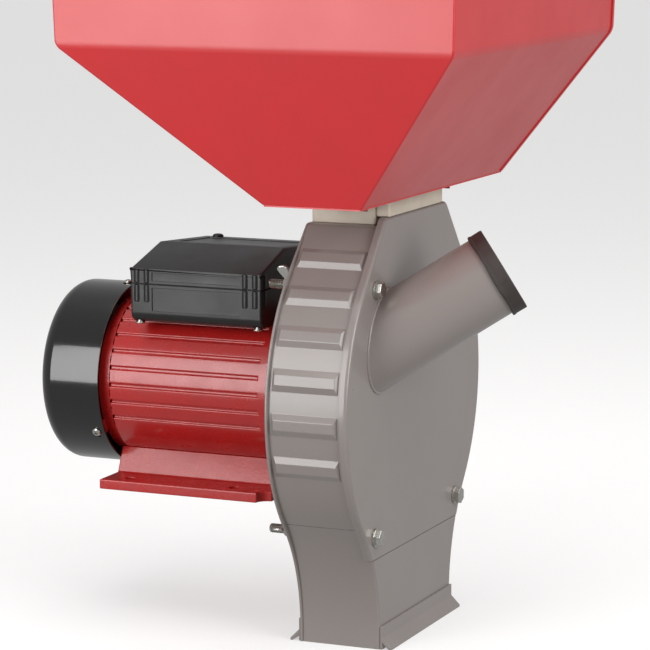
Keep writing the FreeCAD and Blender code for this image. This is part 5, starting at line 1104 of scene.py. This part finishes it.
def makeBoxBase():
    base = {"saddle": 72.3, "opening": (10, 6.5), "bore": 5}
    bottom, top = low("box_base"), high("box_base")
    bm = boxShape(bottom, top)
    bmesh.ops.delete(bm, geom=[f for f in bm.faces if f.normal.z > 0.9], context="FACES_ONLY")
    lower = [e for e in edgesAlong(bm, "x") if e.verts[0].co.z < (bottom.z + 1) * mm]
    rounded(bm, lower, box["lower"], 7)
    ends = sharpEdges(bm, 1.2)
    rounded(bm, ends, box["edge"], 4)
    piece = pieceOf("boxBaseMoulded", bm)
    addWall(piece, box["wall"], even=False)
    settle(piece)
    saddle = bmesh.new()
    addRod(saddle, base["saddle"], 300, 160)
    bmesh.ops.rotate(saddle, cent=centre, matrix=Matrix.Rotation(turn / 4, 3, "Y"), verts=saddle.verts)
    bmesh.ops.translate(saddle, vec=(-0.14, 0, axisHeight * mm), verts=saddle.verts)
    switchMiddle = (low("switch_body") + high("switch_body")) / 2
    gland = (low("cable_gland") + high("cable_gland")) / 2
    wide, tall = base["opening"]
    opening = boxShape((switchMiddle.x - wide, top.y - 8, switchMiddle.z - tall),
                       (switchMiddle.x + wide, top.y + 3, switchMiddle.z + tall))
    bore = boxShape((gland.x - base["bore"], top.y - 8, gland.z - base["bore"]),
                    (gland.x + base["bore"], top.y + 3, gland.z + base["bore"]))
    carve(piece, [pieceOf(name, shape) for name, shape in
                  (("saddle", saddle), ("opening", opening), ("bore", bore))]
          + panelCutters(bottom.z + box["lower"] + 1.5, top.z - 2.2))
    addPillars(piece, top.z - box["skirt"], top.z)
    present(piece, ["box_base"], 32)


def makeBoxLid():
    lid = {"rim": 12.5, "ridge": -22, "fall": 6, "farIn": 2, "endIn": 2, "button": 5.3}
    bottom, top = low("box_lid"), high("box_lid")
    rim = bottom.z + lid["rim"]
    half = top.y
    corners = [(-half, bottom.z), (-half, rim), (lid["ridge"], top.z),
               (half - lid["farIn"], top.z - lid["fall"]), (half, rim), (half, bottom.z)]
    bm = sectionShape(corners, bottom.x, top.x)
    bmesh.ops.bisect_plane(bm, geom=bm.verts[:] + bm.edges[:] + bm.faces[:], plane_co=(0, 0, rim * mm),
                           plane_no=(0, 0, 1))
    for vert in bm.verts:
        if vert.co.z > (rim + 1) * mm:
            vert.co.x += lid["endIn"] * mm * (1 if vert.co.x < (bottom.x + top.x) / 2 * mm else -1)
    bmesh.ops.delete(bm, geom=[f for f in bm.faces if f.normal.z < -0.9], context="FACES_ONLY")
    edges = sharpEdges(bm, 0.6)
    rounded(bm, edges, box["edge"], 4)
    piece = pieceOf("boxLidMoulded", bm)
    addWall(piece, box["wall"], even=False)
    settle(piece)
    button = (low("overload_button") + high("overload_button")) / 2
    hole = bmesh.new()
    addRod(hole, lid["button"], 60, 40)
    bmesh.ops.translate(hole, vec=(button.x * mm, button.y * mm, top.z * mm), verts=hole.verts)
    # A shallow sunk field on the top, which slopes down to the far edge.
    slope = math.atan2(lid["fall"], half - lid["farIn"] - lid["ridge"])
    field = boxShape((-48, -33, -0.8), (48, 33, 3))
    rounded(field, field.edges[:], 0.5, 2)
    bmesh.ops.transform(field, matrix=at((bottom.x + top.x) / 2, 22, top.z - math.tan(slope) * 44)
                        @ Matrix.Rotation(-slope, 4, "X"), verts=field.verts)
    cutters = [pieceOf("buttonHole", hole), pieceOf("roofField", field)]
    carve(piece, cutters + panelCutters(bottom.z + 2.2, rim - 3))
    addPillars(piece, bottom.z, rim)
    present(piece, ["box_lid"], 32)


def makeButton():
    # A domed push button with a flange that keeps it in the lid.
    bottom, top = low("overload_button"), high("overload_button")
    middle = (bottom + top) / 2
    height = top.z - bottom.z
    bm = turnedShape([(0, 0), (0, 6.6), (1.2, 6.6), (1.2, 5), (height - 1.6, 5), (height - 0.5, 4.1),
                      (height, 2.4), (height, 0)], 40)
    bmesh.ops.transform(bm, matrix=at(middle.x, middle.y, bottom.z) @ facing((0, 0, 1)), verts=bm.verts)
    piece = pieceOf("buttonDomed", bm)
    addBevel(piece, 0.3, 2, 25)
    settle(piece)
    present(piece, ["overload_button"], 40)


def makeGland():
    # Hexagon body against the wall, then a ribbed dome that narrows to the cable.
    bottom, top = low("cable_gland"), high("cable_gland")
    middle = (bottom + top) / 2
    wall = high("box_base").y
    length = top.y - wall
    bm = turnedShape([(-5.5, 3.6), (-5.5, 5.5), (0.1, 5.5), (0.1, 7.4), (length - 5.5, 7.4),
                      (length - 3.4, 7.0), (length - 1.2, 5.6), (length, 4.6),
                      (length, 3.6)], 48, closed=True)
    rounded(bm, sharpEdges(bm, 1), 0.3, 2)
    body = meshOf(bm, "glandBody")
    nut = bmesh.new()
    addRod(nut, (top.x - bottom.x) / 2, 4, 6)
    rounded(nut, nut.edges[:], 0.5, 2)
    nutMesh = meshOf(nut, "glandNut")
    grip = bmesh.new()
    addRod(grip, 0.9, 6.5, 6)
    gripMesh = meshOf(grip, "glandGrip")
    bm = bmesh.new()
    place = at(middle.x, wall, middle.z) @ facing((0, 1, 0))
    stamp(bm, body, place)
    stamp(bm, nutMesh, place @ at(2.2, 0, 0) @ Matrix.Rotation(turn / 4, 4, "Y"))
    stamp(bm, nutMesh, place @ at(-4.8, 0, 0) @ Matrix.Rotation(turn / 4, 4, "Y"))
    for i in range(16):
        stamp(bm, gripMesh, place @ Matrix.Rotation(turn * i / 16, 4, "X") @ at(7.6, 7.3, 0)
              @ Matrix.Rotation(turn / 4, 4, "Y"))
    present(pieceOf("cableGlandRibbed", bm), ["cable_gland"], 32)


makeBoxBase()
makeBoxLid()
makeButton()
makeGland()
roundedCopy("switch_body", 0.5)
roundedCopy("switch_rocker", 0.5, 3)
print("terminal box made")


# Inside the chamber, seen with the cover off
for node, width in (("rotor_discs", 0.5), ("hub_spacer", 0.5), ("hammer_pins", 0.4),
                    ("hammers_1", 0.35), ("hammers_2", 0.35), ("hammers_3", 0.35), ("hammers_4", 0.35),
                    ("rear_sieve_seat", 0.4), ("cooling_fan", 0.4)):
    roundedCopy(node, width)
print("rotor made")


# Camera, floor and lights

def lookAlong(spot, way):
    # A frame at the spot whose -Z axis looks along the way, upright.
    back = -Vector(way).normalized()
    right = Vector((0, 0, 1)).cross(back).normalized()
    up = back.cross(right)
    turned = Matrix((right, up, back)).transposed().to_4x4()
    return Matrix.Translation(spot) @ turned


view = {"azimuth": 23.22, "elevation": 8.88, "distance": 2.54631, "lens": 164.35, "shiftRight": -0.04502,
        "height": 0.26268}
a, e = math.radians(view["azimuth"]), math.radians(view["elevation"])
back = Vector((math.sin(a) * math.cos(e), -math.cos(a) * math.cos(e), math.sin(e)))
target = Vector((math.cos(a), math.sin(a), 0)) * view["shiftRight"] + Vector((0, 0, view["height"]))
lens = bpy.data.cameras.new("studioCamera")
lens.sensor_width = 36
lens.lens = view["lens"]
lens.clip_start = 0.05
lens.clip_end = 60
camera = bpy.data.objects.new("studioCamera", lens)
camera.matrix_world = lookAlong(target + back * view["distance"], -back)
bpy.context.scene.collection.objects.link(camera)
bpy.context.scene.camera = camera


def makeFloor():
    # Pale seamless paper.
    bm = bmesh.new()
    bmesh.ops.create_grid(bm, x_segments=8, y_segments=8, size=12)
    floor = pieceOf("paperFloor", bm)
    material = bpy.data.materials.new("seamlessPaper")
    material.use_nodes = True
    tree = material.node_tree
    tree.nodes.clear()
    place = addNode(tree, "ShaderNodeTexCoord").outputs["Object"]
    noise = addNode(tree, "ShaderNodeTexNoise", {"Vector": place, "Scale": 40.0, "Detail": 3.0})
    fibre = noise.outputs["Fac"]
    colour = addNode(tree, "ShaderNodeMix", {0: fibre, 6: hexColour("#BDBCBB"), 7: hexColour("#B9B8B7")},
                     data_type="RGBA").outputs[2]
    shader = addNode(tree, "ShaderNodeBsdfPrincipled", {
        "Base Color": colour, "Roughness": 0.9, "Specular IOR Level": 0.1,
        "Emission Color": hexColour("#FFFFFF"), "Emission Strength": 0.52})
    addNode(tree, "ShaderNodeOutputMaterial", {"Surface": shader.outputs["BSDF"]})
    floor.data.materials.append(material)
    floor.visible_glossy = False
    floor.visible_diffuse = False


def addLight(name, spot, towards, size, power):
    data = bpy.data.lights.new(name, "AREA")
    data.shape = "RECTANGLE"
    data.size, data.size_y = size
    data.energy = power
    light = bpy.data.objects.new(name, data)
    light.matrix_world = lookAlong(Vector(spot), Vector(towards) - Vector(spot))
    light.visible_camera = False
    bpy.context.scene.collection.objects.link(light)


makeFloor()
addLight("frontSoftbox", (-0.80, -1.75, 0.62), (-0.05, 0, 0.30), (0.95, 1.35), 21)
addLight("topSoftbox", (0.1, -0.3, 2.3), (0, 0, 0.3), (2.2, 2.2), 34)
addLight("rightSoftbox", (2.0, -0.7, 1.0), (0, 0, 0.35), (1.3, 1.5), 30)

world = bpy.data.worlds.new("studioRoom")
world.use_nodes = True
tree = world.node_tree
tree.nodes.clear()
path = addNode(tree, "ShaderNodeLightPath")
room = addNode(tree, "ShaderNodeBackground", {"Color": hexColour("#FFFFFF"), "Strength": 0.42})
paper = addNode(tree, "ShaderNodeBackground", {"Color": hexColour("#FFFFFF"), "Strength": 1.0})
both = addNode(tree, "ShaderNodeMixShader", {0: path.outputs["Is Camera Ray"], 1: room.outputs[0],
                                             2: paper.outputs[0]})
addNode(tree, "ShaderNodeOutputWorld", {"Surface": both.outputs[0]})
bpy.context.scene.world = world
bpy.context.scene.view_settings.view_transform = "Standard"
print("studio made")
